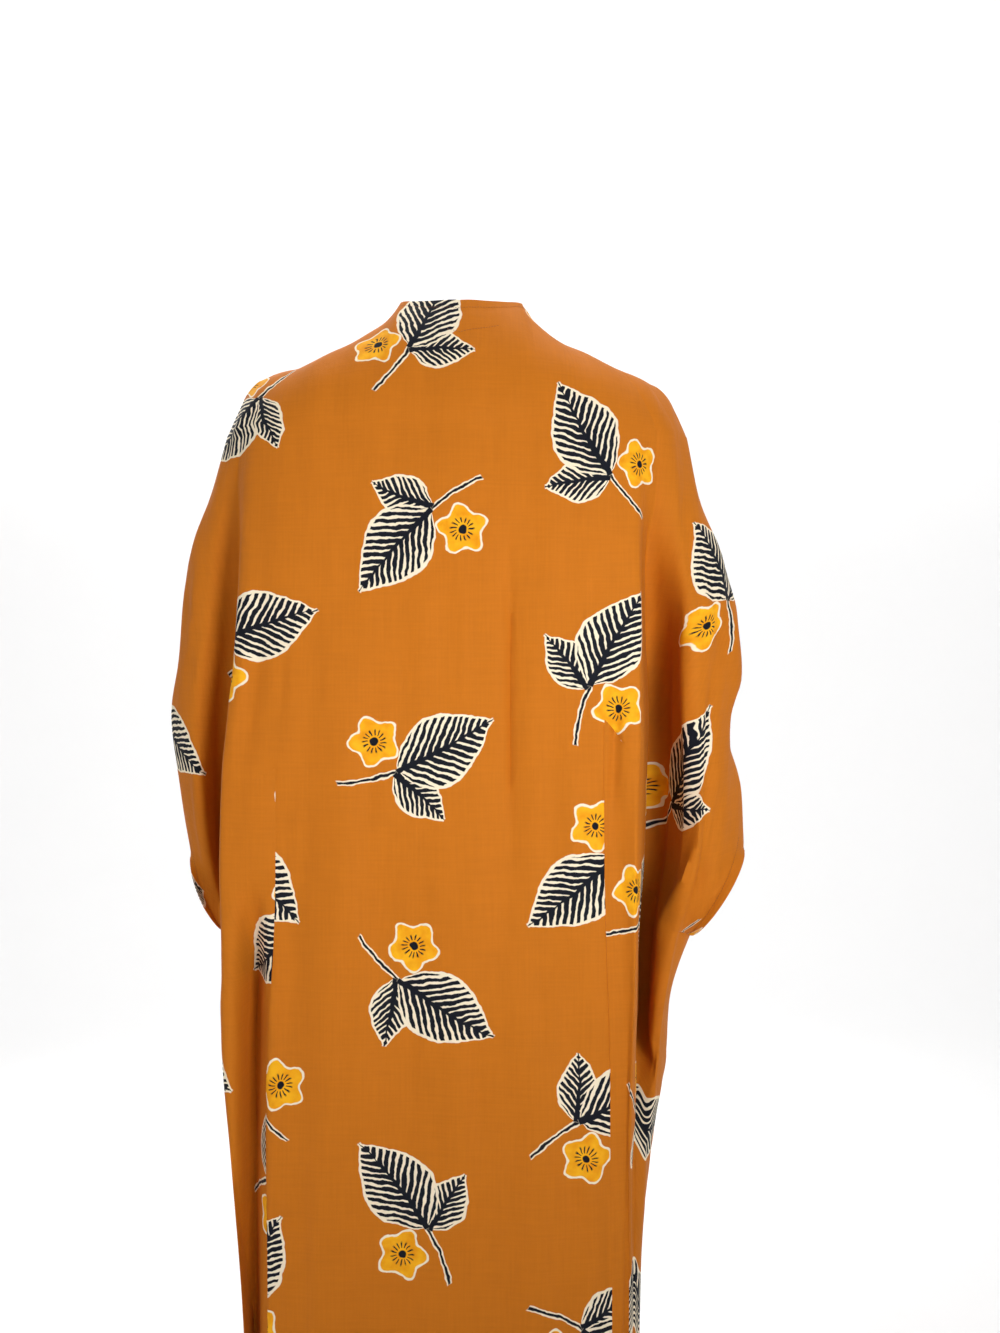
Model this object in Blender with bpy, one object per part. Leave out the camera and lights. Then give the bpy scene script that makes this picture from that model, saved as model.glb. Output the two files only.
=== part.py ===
"""Kimono coat in the hollow form it has when worn: an open-fronted coat of one layer of thin cloth,
with wide sleeves cut in one with the body. Metres, +Z up, wearer's front towards -Y and wearer's
left towards +X. The origin lies between the two points where neckline and shoulder seams meet."""

import bmesh
import bpy
import numpy as np

MM = 0.001
WALL = 2 * MM
SEAM_GAP = 0.4 * MM
LENGTH = 1280
YOKE_DROP = 150
NECK_HALF_WIDTH = 68
NECK_BACK = 56
NECK_DIP = 12
SIDE_BACK = -2
SHOULDER_COLUMNS = ("out", "drop")
LEFT_SHOULDER = ((68, 3), (80, 20), (97, 35), (116, 48), (138, 60), (163, 70), (198, 79), (221, 87))
RIGHT_SHOULDER = ((68, 5), (80, 22), (89, 33), (103, 43), (122, 53), (143, 64), (170, 76), (212, 93))

# Each row below is one level section through half of the coat, in millimetres. Drop is measured
# down from the origin, out from the middle, back from the shoulder line. Edge is where the back
# turns forward behind the arm, dip the bottom of that fold, crest the fullest part of the sleeve.
SECTION_COLUMNS = ("drop", "seam_out", "seam_back", "edge_out", "edge_back", "dip_out", "dip_back",
                   "crest_out", "crest_back", "side_out", "middle_back")
RIGHT_SECTIONS = (
    (150, 150, 89, 183, 74, 208, 56, 231, 34, 247, 98),
    (215, 150, 98, 184, 85, 207, 58, 236, 42, 261, 106),
    (290, 150, 104, 184, 97, 201, 42, 242, 52, 290, 110),
    (350, 150, 107, 184, 103, 204, 26, 250, 60, 303, 112),
    (415, 149, 109, 183, 107, 208, 12, 252, 64, 307, 113),
    (465, 149, 110, 183, 109, 210, 4, 253, 66, 290, 113),
    (540, 149, 111, 181, 111, 210, -2, 254, 68, 308, 114),
    (603, 149, 112, 180, 113, 208, -8, 250, 68, 310, 115),
    (696, 151, 113, 179, 114, 198, -10, 226, 34, 251, 116),
    (775, 154, 113, 177, 113, 195, 2, 212, 42, 227, 116),
    (830, 155, 113, 175, 111, 191, 46, 207, 48, 224, 116),
    (910, 155, 112, 174, 108, 186, 78, 199, 58, 210, 115),
    (1050, 156, 109, 173, 103, 182, 84, 190, 58, 195, 113),
    (1280, 154, 106, 171, 99, 180, 80, 187, 52, 190, 111),
)
LEFT_SECTIONS = (
    (150, 168, 86, 214, 66, 233, 48, 248, 30, 257, 98),
    (215, 176, 92, 224, 70, 240, 40, 259, 30, 277, 106),
    (290, 182, 99, 227, 82, 240, 30, 266, 34, 302, 110),
    (390, 185, 104, 232, 92, 245, 22, 274, 40, 311, 112),
    (450, 187, 107, 238, 97, 250, 18, 280, 42, 319, 113),
    (520, 188, 109, 243, 101, 255, 14, 280, 42, 311, 114),
    (608, 188, 111, 244, 103, 256, 12, 270, 38, 297, 115),
    (691, 190, 112, 242, 104, 249, 64, 255, 36, 260, 116),
    (780, 196, 112, 243, 100, 249, 72, 253, 40, 253, 116),
    (900, 199, 111, 236, 96, 241, 70, 243, 38, 242, 115),
    (1050, 199, 109, 225, 92, 231, 66, 233, 36, 232, 113),
    (1280, 196, 106, 212, 88, 217, 62, 220, 34, 220, 111),
)
FRONT_COLUMNS = ("drop", "opening_out", "opening_front", "edge_front", "dip_front", "crest_front")
FRONT_SECTIONS = (
    (150, 56, 98, 76, 56, 34),
    (215, 52, 112, 90, 60, 44),
    (290, 48, 119, 102, 62, 52),
    (415, 44, 120, 108, 54, 58),
    (540, 41, 116, 108, 50, 60),
    (603, 40, 115, 107, 50, 58),
    (696, 39, 116, 108, 52, 30),
    (830, 39, 119, 108, 66, 40),
    (1050, 41, 123, 106, 76, 48),
    (1280, 44, 127, 104, 74, 46),
)
TURNS = ("middle", "seam", "edge", "dip", "crest", "side",
         "front_crest", "front_dip", "front_edge", "opening")

# The long folds that fall from the shoulders. Out is positive on the wearer's left, and height is
# how far the cloth stands out, so a trough has a negative one.
FOLD_COLUMNS = ("layer", "out_top", "drop_top", "out_foot", "drop_foot", "half_width", "height")
FOLDS = (
    ("back", 212, 600, 218, 1290, 14, -40),
    ("back", 166, 470, 172, 1290, 26, -6),
    ("back", -48, 240, -52, 760, 22, -5),
    ("back", 72, 560, 40, 1290, 34, -6),
    ("back", -80, 700, -96, 1290, 30, 6),
    ("back", 120, 300, 128, 900, 34, 5),
    ("back", -160, 420, -160, 1290, 14, -6),
    ("front", 92, 230, 104, 1290, 27, 17),
    ("front", 142, 330, 156, 1290, 22, -16),
    ("front", 196, 420, 200, 1290, 24, 10),
    ("front", -86, 220, -92, 1290, 25, 16),
    ("front", -132, 380, -138, 1290, 20, -16),
)

FOLD_FADE = 0.2

# Where the back's underarm seam starts at the side seam, and the low end of each cuff.
ARMHOLES = {"left": (505, 691), "right": (455, 696)}
CUFF_TOPS = {"left": 608, "right": 603}
CUFF_HALF_DEPTHS = {"left": 47, "right": 58}

# How far each column's underarm row has sunk from the side seam's top to the cuff's low end.
UNDERARM_SHARES = {
    "back": {"seam": 0.0, "edge": 0.22, "dip": 0.8, "crest": 0.94, "side": 1.0},
    "front": {"side": 1.0, "front_crest": 0.9, "front_dip": 0.7, "front_edge": 0.3, "opening": 0.0},
}

# How long the fold behind the arm stays deep on its way to the crest: at 1 it rises evenly.
HOLLOW = 1.6

# How steeply the cloth leaves the neckline and the shoulder seam, from 0, level, to 1, straight down.
YOKE_LEAD = {"middle": 0.62, "neck": 0.34, "side": 0.12}

BACK_STEPS = (("crest", 4), ("dip", 3), ("edge", 3), ("seam", 5), ("middle", 6))
FRONT_STEPS = (("front_crest", 4), ("front_dip", 3), ("front_edge", 3), ("opening", 8))
NECK_STEPS = 3
YOKE_ROWS = 6
SLEEVE_ROWS = 7
CUFF_ROWS = 5
SKIRT_ROWS = 16
UNDERARM_ROW = YOKE_ROWS + SLEEVE_ROWS + CUFF_ROWS
CUFF_TOP_ROW = YOKE_ROWS + SLEEVE_ROWS
ROWS = UNDERARM_ROW + SKIRT_ROWS

SIDES = {"left": 1, "right": -1}
SECTIONS = {"left": np.array(LEFT_SECTIONS, float), "right": np.array(RIGHT_SECTIONS, float)}
SHOULDERS = {"left": np.array(LEFT_SHOULDER, float), "right": np.array(RIGHT_SHOULDER, float)}
FRONTS = np.array(FRONT_SECTIONS, float)
SHARPEST_CORNER = -0.3
CLOTH_COLOUR = (0.60, 0.19, 0.025, 1.0)
CLOTH_ROUGHNESS = 0.75


def clear_scene():
    for thing in list(bpy.data.objects):
        bpy.data.objects.remove(thing)


def smooth(knots, values, at):
    """The value at a place, on a smooth curve through the knots that never overshoots them."""
    knots = np.asarray(knots, float)
    values = np.asarray(values, float)
    rises = np.diff(values) / np.diff(knots)
    slopes = np.zeros(len(knots))
    slopes[0], slopes[-1] = rises[0], rises[-1]
    for i in range(1, len(knots) - 1):
        if rises[i - 1] * rises[i] > 0:
            slopes[i] = 2 * rises[i - 1] * rises[i] / (rises[i - 1] + rises[i])
    at = min(max(at, knots[0]), knots[-1])
    i = min(int(np.searchsorted(knots, at, side="right")) - 1, len(knots) - 2)
    gap = knots[i + 1] - knots[i]
    share = (at - knots[i]) / gap
    rest = 1 - share
    return (
        values[i] * (1 + 2 * share) * rest**2
        + slopes[i] * gap * share * rest**2
        + values[i + 1] * share**2 * (3 - 2 * share)
        - slopes[i + 1] * gap * share**2 * rest
    )


def read(table, columns, name, at):
    """The value of the named column at a place given in the table's first column."""
    return smooth(table[:, 0], table[:, columns.index(name)], at)


def turning_points(side, drop):
    """The corners of half a level section, from the middle of the back round to the opening."""

    def back(name):
        return read(SECTIONS[side], SECTION_COLUMNS, name, drop)

    def front(name):
        return read(FRONTS, FRONT_COLUMNS, name, drop)

    return np.array((
        (0, back("middle_back")),
        (back("seam_out"), back("seam_back")),
        (back("edge_out"), back("edge_back")),
        (back("dip_out"), back("dip_back")),
        (back("crest_out"), back("crest_back")),
        (back("side_out"), SIDE_BACK),
        (back("crest_out"), -front("crest_front")),
        (back("dip_out"), -front("dip_front")),
        (back("edge_out"), -front("edge_front")),
        (front("opening_out"), -front("opening_front")),
    ))


def column_places(steps):
    """The place of each column round the half section, counted from the side."""
    places = [float(TURNS.index("side"))]
    for name, count in steps:
        start, end = places[-1], TURNS.index(name)
        places += [start + (end - start) * (n + 1) / count for n in range(count)]
    return places


PLACES = {"back": column_places(BACK_STEPS), "front": column_places(FRONT_STEPS)}
NECK_COLUMN = len(PLACES["back"]) - 1 - NECK_STEPS
SEAM_COLUMN = PLACES["back"].index(float(TURNS.index("seam")))


def underarm_share(layer, place):
    shares = UNDERARM_SHARES[layer]
    return float(np.interp(place, [TURNS.index(name) for name in shares], list(shares.values())))


def cuff_point(side, layer, row):
    """A point of the cuff's edge: an oval that slopes in towards the body."""
    low_drop = ARMHOLES[side][1]
    top_drop = CUFF_TOPS[side]
    top_out = read(SECTIONS[side], SECTION_COLUMNS, "side_out", top_drop)
    low_out = read(SECTIONS[side], SECTION_COLUMNS, "side_out", low_drop)
    turn = np.pi * (row - CUFF_TOP_ROW) / CUFF_ROWS
    reach = (1 + np.cos(turn)) / 2
    depth = CUFF_HALF_DEPTHS[side] * np.sin(turn) * (1 if layer == "back" else -1)
    return (
        low_out + (top_out - low_out) * reach,
        depth + SIDE_BACK,
        low_drop + (top_drop - low_drop) * reach,
    )


def sleeve_drop(side, layer, place, row):
    """How far down a point of the sleeve and upper body lies, on rows that end at the underarm."""
    start_drop, low_drop = ARMHOLES[side]
    share = underarm_share(layer, place)
    foot = start_drop + (low_drop - start_drop) * share
    even = (row - YOKE_ROWS) / (UNDERARM_ROW - YOKE_ROWS)
    top_share = (CUFF_TOPS[side] - YOKE_DROP) / (low_drop - YOKE_DROP)
    if row <= CUFF_TOP_ROW:
        uneven = top_share * (row - YOKE_ROWS) / SLEEVE_ROWS
    else:
        reach = (1 + np.cos(np.pi * (row - CUFF_TOP_ROW) / CUFF_ROWS)) / 2
        uneven = 1 - (1 - top_share) * reach
    mixed = even + (uneven - even) * share
    return YOKE_DROP + (foot - YOKE_DROP) * mixed


def hollowed(place):
    dip = TURNS.index("dip")
    return dip + (place - dip) ** HOLLOW if dip < place < dip + 1 else place


def section_point(side, layer, place, drop, cuff=None):
    corners = turning_points(side, drop)
    knots = np.arange(len(TURNS), dtype=float)
    if cuff is not None:
        turn = TURNS.index("side")
        corners[turn] = cuff[:2]
        half = slice(0, turn + 1) if layer == "back" else slice(turn, None)
        knots, corners = knots[half], corners[half]
    return smooth(knots, corners[:, 0], place), smooth(knots, corners[:, 1], hollowed(place))


def yoke_point(side, layer, column, row):
    """A point between the shoulder seam or neckline and the first level section."""
    shoulder = SHOULDERS[side]
    end_out, end_back = section_point(side, layer, PLACES[layer][column], YOKE_DROP)
    if column <= NECK_COLUMN:
        share = column / NECK_COLUMN
        out = shoulder[-1, 0] + (NECK_HALF_WIDTH - shoulder[-1, 0]) * share
        back, drop = 0.0, read(shoulder, SHOULDER_COLUMNS, "drop", out)
        lead = YOKE_LEAD["side"] + (YOKE_LEAD["neck"] - YOKE_LEAD["side"]) * share**3
    else:
        share = (column - NECK_COLUMN) / NECK_STEPS
        out = NECK_HALF_WIDTH * (1 - share)
        round_share = np.sqrt(1 - (1 - share) ** 2)
        back = NECK_BACK * round_share
        drop = shoulder[0, 1] + (NECK_DIP - shoulder[0, 1]) * round_share
        lead = YOKE_LEAD["neck"] + (YOKE_LEAD["middle"] - YOKE_LEAD["neck"]) * share
    along = row / YOKE_ROWS
    weights = np.array(((1 - along) ** 2, 2 * along * (1 - along), along**2))
    outs = np.array((out, (out + end_out) / 2, end_out))
    backs = np.array((back, end_back, end_back))
    drops = np.array((drop, drop + (YOKE_DROP - drop) * lead, YOKE_DROP))
    return weights @ outs, weights @ backs, weights @ drops


def plain_point(side, layer, column, row):
    """A point of the cloth before its folds, as out, back and drop."""
    place = PLACES[layer][column]
    if row <= YOKE_ROWS:
        return yoke_point(side, layer, column, row)
    if row <= UNDERARM_ROW:
        drop = sleeve_drop(side, layer, place, row)
        cuff = None
        if CUFF_TOP_ROW < row < UNDERARM_ROW:
            cuff = cuff_point(side, layer, row)
            if column == 0:
                return cuff
        return (*section_point(side, layer, place, drop, cuff), drop)
    start = sleeve_drop(side, layer, place, UNDERARM_ROW)
    drop = start + (LENGTH - start) * (row - UNDERARM_ROW) / SKIRT_ROWS
    return (*section_point(side, layer, place, drop), drop)


def fold_height(layer, out, drop):
    """How far the long folds lift or sink the cloth at one place."""
    total = 0.0
    for row in FOLDS:
        fold = dict(zip(FOLD_COLUMNS, row))
        along = (drop - fold["drop_top"]) / (fold["drop_foot"] - fold["drop_top"])
        if fold["layer"] != layer or not 0 < along < 1:
            continue
        middle = fold["out_top"] + (fold["out_foot"] - fold["out_top"]) * along
        across = (out - middle) / fold["half_width"]
        fade = min(1, along / FOLD_FADE)
        if fold["drop_foot"] < LENGTH:
            fade = min(fade, (1 - along) / FOLD_FADE)
        total += fold["height"] * np.exp(-across * across) * fade * fade * (3 - 2 * fade)
    return total


def cloth_point(side, layer, column, row):
    out, back, drop = plain_point(side, layer, column, row)
    x = out * SIDES[side]
    place = PLACES[layer][column]
    if not TURNS.index("edge") < place < TURNS.index("front_edge"):
        lift = fold_height(layer, x, drop)
        back += lift if layer == "back" else -lift
    return np.array((x, back, -drop)) * MM


def point_key(side, layer, column, row):
    """One name for each point, so that cloth that runs on shares its points."""
    if layer == "back" and column == len(PLACES["back"]) - 1:
        side = "middle"
    if column == 0 and (row <= CUFF_TOP_ROW or row >= UNDERARM_ROW):
        layer = "both"
    if row == 0 and column <= NECK_COLUMN:
        layer = "both"
    return side, layer, column, row


def whole_cloth():
    """All points of the coat, and the four corners of every small cell with its place."""
    points, cells = {}, []
    for side, sign in SIDES.items():
        for layer in ("back", "front"):
            last = len(PLACES[layer]) - 1
            for column in range(last + 1):
                for row in range(ROWS + 1):
                    key = point_key(side, layer, column, row)
                    if key not in points:
                        points[key] = cloth_point(side, layer, column, row)
            for column in range(last):
                for row in range(ROWS):
                    corners = [
                        point_key(side, layer, column, row),
                        point_key(side, layer, column + 1, row),
                        point_key(side, layer, column + 1, row + 1),
                        point_key(side, layer, column, row + 1),
                    ]
                    if (sign > 0) == (layer == "back"):
                        corners.reverse()
                    cells.append(((side, layer, column, row), corners))
    return points, cells


def outward_normals(points, cells):
    normals = {key: np.zeros(3) for key in points}
    for _, corners in cells:
        a, b, c, d = (points[key] for key in corners)
        face = np.cross(c - a, d - b)
        for key in corners:
            normals[key] += face
    return {key: value / np.linalg.norm(value) for key, value in normals.items()}


def cut_piece(cells, name):
    """The cells of one cut piece. Below the underarm the fronts run round to the side seams."""

    def owner(place):
        side, layer, column, row = place
        behind = layer == "back" and (row < UNDERARM_ROW or column >= SEAM_COLUMN)
        return "back" if behind else "front_" + side

    return [corners for place, corners in cells if owner(place) == name]


def inward_shift(points, corners_list):
    """The small step that opens the seam at each point of a piece's edge, and that edge's sides."""
    edges = {}
    for corners in corners_list:
        for i in range(4):
            edges[corners[i], corners[(i + 1) % 4]] = corners
    steps = {}
    for (a, b), corners in edges.items():
        if (b, a) in edges:
            continue
        along = points[b] - points[a]
        along /= np.linalg.norm(along)
        inside = sum(points[key] for key in corners) / 4 - points[a]
        inside -= along * (inside @ along)
        inside /= np.linalg.norm(inside)
        steps.setdefault(a, []).append(inside)
        steps.setdefault(b, []).append(inside)
    shifts = {
        key: sum(found) / (1 + max(found[0] @ found[-1], SHARPEST_CORNER)) * SEAM_GAP / 2
        for key, found in steps.items()
    }
    return shifts, [edge for edge in edges if edge[::-1] not in edges]


def split(points, corners):
    """The two triangles of a cell, cut along its shorter diagonal on both faces of the wall."""
    a, b, c, d = corners
    if np.linalg.norm(points[a] - points[c]) <= np.linalg.norm(points[b] - points[d]):
        return (a, b, c), (a, c, d)
    return (a, b, d), (b, c, d)


def cloth_material(name):
    material = bpy.data.materials.new(name)
    material.use_nodes = True
    shader = material.node_tree.nodes["Principled BSDF"]
    shader.inputs["Base Color"].default_value = CLOTH_COLOUR
    shader.inputs["Roughness"].default_value = CLOTH_ROUGHNESS
    shader.inputs["Metallic"].default_value = 0.0
    return material


def make_piece(name, points, normals, cells):
    """One cut piece as a closed wall: an outer face, an inner face and the edge between them."""
    corners_list = cut_piece(cells, name)
    shifts, rim = inward_shift(points, corners_list)
    mesh = bmesh.new()
    outer, inner = {}, {}
    for key in dict.fromkeys(key for corners in corners_list for key in corners):
        place = points[key] + shifts.get(key, 0)
        outer[key] = mesh.verts.new(place + normals[key] * WALL / 2)
        inner[key] = mesh.verts.new(place - normals[key] * WALL / 2)
    for triangle in (triangle for corners in corners_list for triangle in split(points, corners)):
        mesh.faces.new([outer[key] for key in triangle])
        mesh.faces.new([inner[key] for key in reversed(triangle)])
    for a, b in rim:
        if a < b:
            mesh.faces.new((outer[b], outer[a], inner[a]))
            mesh.faces.new((outer[b], inner[a], inner[b]))
        else:
            mesh.faces.new((outer[b], outer[a], inner[b]))
            mesh.faces.new((outer[a], inner[a], inner[b]))
    data = bpy.data.meshes.new(name)
    mesh.to_mesh(data)
    mesh.free()
    data.shade_smooth()
    data.materials.append(cloth_material(name + "_cloth"))
    piece = bpy.data.objects.new(name, data)
    bpy.context.scene.collection.objects.link(piece)


def main():
    clear_scene()
    points, cells = whole_cloth()
    normals = outward_normals(points, cells)
    for name in ("back", "front_left", "front_right"):
        make_piece(name, points, normals, cells)


main()
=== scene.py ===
import math

import bpy
import numpy as np
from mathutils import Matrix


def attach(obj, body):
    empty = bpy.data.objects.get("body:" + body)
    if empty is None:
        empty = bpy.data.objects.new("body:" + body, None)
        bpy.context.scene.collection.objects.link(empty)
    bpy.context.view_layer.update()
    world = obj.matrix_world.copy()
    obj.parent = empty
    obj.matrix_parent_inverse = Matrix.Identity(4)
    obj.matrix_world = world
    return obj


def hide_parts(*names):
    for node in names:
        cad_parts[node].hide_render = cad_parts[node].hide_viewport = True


bl_info = {
    "name": "Kimono Coat",
    "version": (1, 0, 0),
    "blender": (4, 5, 0),
    "location": "View3D > Sidebar > Coat",
    "description": "Thin printed cloth, hems and stitching for a long open kimono coat",
    "category": "Object",
}

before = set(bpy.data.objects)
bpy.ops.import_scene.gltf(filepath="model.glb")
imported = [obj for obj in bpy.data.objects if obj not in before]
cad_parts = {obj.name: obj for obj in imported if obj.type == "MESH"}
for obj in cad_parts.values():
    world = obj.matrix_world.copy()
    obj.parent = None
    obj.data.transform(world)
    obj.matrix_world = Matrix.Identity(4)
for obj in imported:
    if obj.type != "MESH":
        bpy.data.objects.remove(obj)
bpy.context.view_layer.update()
MM = 0.001

# The coat's own sizes, in millimetres: drop is measured down from the neck, out from the middle of
# the back and back from the shoulder line.
LENGTH = 1280
YOKE_DROP = 150
NECK_HALF_WIDTH = 68
NECK_BACK = 56
NECK_DIP = 12
SIDE_BACK = -2
SHOULDER_COLUMNS = ("out", "drop")
LEFT_SHOULDER = ((68, 3), (80, 20), (97, 35), (116, 48), (138, 60), (163, 70), (198, 79), (221, 87))
RIGHT_SHOULDER = ((68, 5), (80, 22), (89, 33), (103, 43), (122, 53), (143, 64), (170, 76), (212, 93))
SECTION_COLUMNS = ("drop", "seam_out", "seam_back", "edge_out", "edge_back", "dip_out", "dip_back",
                   "crest_out", "crest_back", "side_out", "middle_back")
RIGHT_SECTIONS = (
    (150, 150, 89, 183, 74, 208, 56, 231, 34, 247, 98),
    (215, 150, 98, 184, 85, 207, 58, 236, 42, 261, 106),
    (290, 150, 104, 184, 97, 201, 42, 242, 52, 290, 110),
    (350, 150, 107, 184, 103, 204, 26, 250, 60, 303, 112),
    (415, 149, 109, 183, 107, 208, 12, 252, 64, 307, 113),
    (465, 149, 110, 183, 109, 210, 4, 253, 66, 290, 113),
    (540, 149, 111, 181, 111, 210, -2, 254, 68, 308, 114),
    (603, 149, 112, 180, 113, 208, -8, 250, 68, 310, 115),
    (696, 151, 113, 179, 114, 198, -10, 226, 34, 251, 116),
    (775, 154, 113, 177, 113, 195, 2, 212, 42, 227, 116),
    (830, 155, 113, 175, 111, 191, 46, 207, 48, 224, 116),
    (910, 155, 112, 174, 108, 186, 78, 199, 58, 210, 115),
    (1050, 156, 109, 173, 103, 182, 84, 190, 58, 195, 113),
    (1280, 154, 106, 171, 99, 180, 80, 187, 52, 190, 111),
)
LEFT_SECTIONS = (
    (150, 168, 86, 214, 66, 233, 48, 248, 30, 257, 98),
    (215, 176, 92, 224, 70, 240, 40, 259, 30, 277, 106),
    (290, 182, 99, 227, 82, 240, 30, 266, 34, 302, 110),
    (390, 185, 104, 232, 92, 245, 22, 274, 40, 311, 112),
    (450, 187, 107, 238, 97, 250, 18, 280, 42, 319, 113),
    (520, 188, 109, 243, 101, 255, 14, 280, 42, 311, 114),
    (608, 188, 111, 244, 103, 256, 12, 270, 38, 297, 115),
    (691, 190, 112, 242, 104, 249, 64, 255, 36, 260, 116),
    (780, 196, 112, 243, 100, 249, 72, 253, 40, 253, 116),
    (900, 199, 111, 236, 96, 241, 70, 243, 38, 242, 115),
    (1050, 199, 109, 225, 92, 231, 66, 233, 36, 232, 113),
    (1280, 196, 106, 212, 88, 217, 62, 220, 34, 220, 111),
)
FRONT_COLUMNS = ("drop", "opening_out", "opening_front", "edge_front", "dip_front", "crest_front")
FRONT_SECTIONS = (
    (150, 56, 98, 76, 56, 34),
    (215, 52, 112, 90, 60, 44),
    (290, 48, 119, 102, 62, 52),
    (415, 44, 120, 108, 54, 58),
    (540, 41, 116, 108, 50, 60),
    (603, 40, 115, 107, 50, 58),
    (696, 39, 116, 108, 52, 30),
    (830, 39, 119, 108, 66, 40),
    (1050, 41, 123, 106, 76, 48),
    (1280, 44, 127, 104, 74, 46),
)
TURNS = ("middle", "seam", "edge", "dip", "crest", "side",
         "front_crest", "front_dip", "front_edge", "opening")
FOLD_COLUMNS = ("layer", "out_top", "drop_top", "out_foot", "drop_foot", "half_width", "height")
FOLDS = (
    ("back", 212, 600, 218, 1290, 12, -43),
    ("back", 166, 470, 172, 1290, 26, -6),
    ("back", -48, 240, -52, 760, 22, -5),
    ("back", 72, 560, 40, 1290, 34, -6),
    ("back", -80, 700, -96, 1290, 30, 6),
    ("back", 120, 300, 128, 900, 34, 5),
    ("back", -160, 420, -160, 1290, 14, -6),
    ("front", 92, 230, 104, 1290, 27, 17),
    ("front", 142, 330, 156, 1290, 22, -16),
    ("front", 196, 420, 200, 1290, 24, 10),
    ("front", -86, 220, -92, 1290, 25, 16),
    ("front", -132, 380, -138, 1290, 20, -16),
)

# A fold fades in over this share of its length, and out over this share of a turn beside the arms.
FOLD_FADE = 0.2
FOLD_EDGE = 0.15

# The small creases of the thin cloth. Place counts the turns of the section: 0 is the middle of
# the back, 1 the side seam, 2 the edge, 3 the dip, 4 the crest, 5 the side, and so on to 9.
CREASE_COLUMNS = ("side", "place_top", "drop_top", "place_foot", "drop_foot", "half_width", "height")
CREASES = (
    ("right", 0.30, 215, 0.315, 640, 3.4, -4.2),
    ("right", 0.26, 300, 0.25, 640, 12, 1.6),
    ("right", 0.40, 330, 0.42, 720, 15, 1.4),
    ("right", 0.12, 222, 0.12, 282, 4.5, -1.4),
    ("right", 0.85, 305, 0.86, 350, 4.5, -1.5),
    ("right", 0.47, 725, 0.46, 800, 7, -1.8),
    ("right", 0.55, 900, 0.80, 1012, 7, -2.4),
    ("right", 0.62, 1020, 0.74, 1250, 9, -2.0),
    ("right", 0.06, 748, 0.14, 905, 8, -2.2),
    ("right", 0.34, 820, 0.40, 1500, 17, 4.0),
    ("right", 0.14, 900, 0.12, 1500, 13, -2.6),
    ("right", 0.74, 760, 0.72, 1500, 13, 3.0),
    ("right", 2.30, 850, 2.10, 1500, 6, -9.0),
    ("right", 1.28, 418, 1.16, 560, 4.5, -4.5),
    ("right", 3.08, 180, 3.0, 1050, 15, -17.0),
    ("right", 3.50, 290, 3.22, 560, 7, -5.0),
    ("right", 4.06, 350, 3.80, 670, 7, -8.5),
    ("right", 4.38, 340, 4.02, 700, 8, -7.0),
    ("right", 4.20, 190, 4.06, 400, 8, -3.6),
    ("right", 3.86, 230, 3.8, 900, 12, 8.0),
    ("left", 3.0, 700, 3.0, 1500, 10, -8.0),
    ("right", 1.55, 520, 1.5, 1190, 6, -2.0),
    ("right", 0.70, 480, 0.68, 700, 9, 1.6),
    ("left", 0.93, 355, 0.95, 465, 6, -2.2),
    ("left", 0.42, 455, 0.43, 575, 6, -1.8),
    ("left", 0.22, 735, 0.21, 890, 8, -2.2),
    ("left", 0.55, 620, 0.50, 860, 10, -1.8),
    ("left", 0.70, 880, 0.66, 1200, 9, -2.4),
    ("left", 0.66, 820, 0.60, 1500, 19, 4.6),
    ("left", 0.19, 860, 0.16, 1500, 16, 3.2),
    ("left", 0.42, 800, 0.40, 1500, 14, -2.4),
    ("left", 0.86, 760, 0.88, 1500, 9, -3.0),
    ("left", 1.30, 340, 1.45, 520, 11, -4.0),
    ("left", 1.60, 250, 1.75, 560, 9, 2.6),
    ("left", 0.80, 520, 0.86, 640, 8, 2.0),
    ("right", 4.1, 560, 3.72, 715, 8, 6.5),
    ("right", 4.45, 520, 4.2, 668, 8, -5.2),
    ("right", 3.85, 300, 3.75, 520, 12, 3.2),
    ("right", 4.35, 255, 4.5, 430, 9, -4.6),
    ("right", 4.0, 210, 4.1, 330, 10, -2.4),
    ("right", 4.72, 330, 4.75, 455, 9, 3.8),
    ("right", 3.4, 420, 3.3, 640, 8, -2.6),
    ("left", 3.9, 330, 4.0, 560, 9, -3.2),
    ("left", 4.4, 270, 4.5, 420, 9, 2.8),
    ("left", 4.1, 480, 4.3, 640, 9, 3.4),
    ("left", 3.5, 360, 3.4, 600, 8, -2.4),
    ("right", 5.6, 240, 5.9, 430, 11, -3.2),
    ("right", 6.3, 330, 6.5, 600, 10, 3.0),
    ("right", 7.0, 640, 6.6, 840, 10, -3.0),
    ("right", 8.4, 300, 8.5, 760, 8, -3.0),
    ("right", 8.7, 560, 8.75, 1230, 8, 2.8),
    ("right", 8.2, 820, 8.25, 1260, 9, -3.0),
    ("left", 5.5, 250, 5.8, 440, 11, -3.0),
    ("left", 6.2, 340, 6.4, 590, 10, 3.2),
    ("left", 7.1, 660, 6.7, 860, 10, -3.0),
    ("left", 8.35, 340, 8.45, 700, 8, -3.0),
    ("left", 8.65, 620, 8.7, 1260, 8, 2.6),
    ("left", 8.25, 900, 8.2, 1260, 9, -2.8),
    ("right", 5.2, 800, 5.3, 1240, 14, -3.0),
    ("left", 5.1, 780, 5.2, 1230, 14, -3.0),
    ("right", 6.2, 900, 6.3, 1270, 12, 3.0),
    ("left", 6.2, 860, 6.4, 1270, 12, 3.0),
)
CREASE_FADE = 0.35

# Below this row the deep folds have run out. The print of a front is taken up evenly between two
# places round its section, and above the underarm from this row on.
STRAIGHT_ROW = 27
TAKEN_UP = (2.0, 8.0)
PRINT_TOP_ROW = 7

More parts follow.
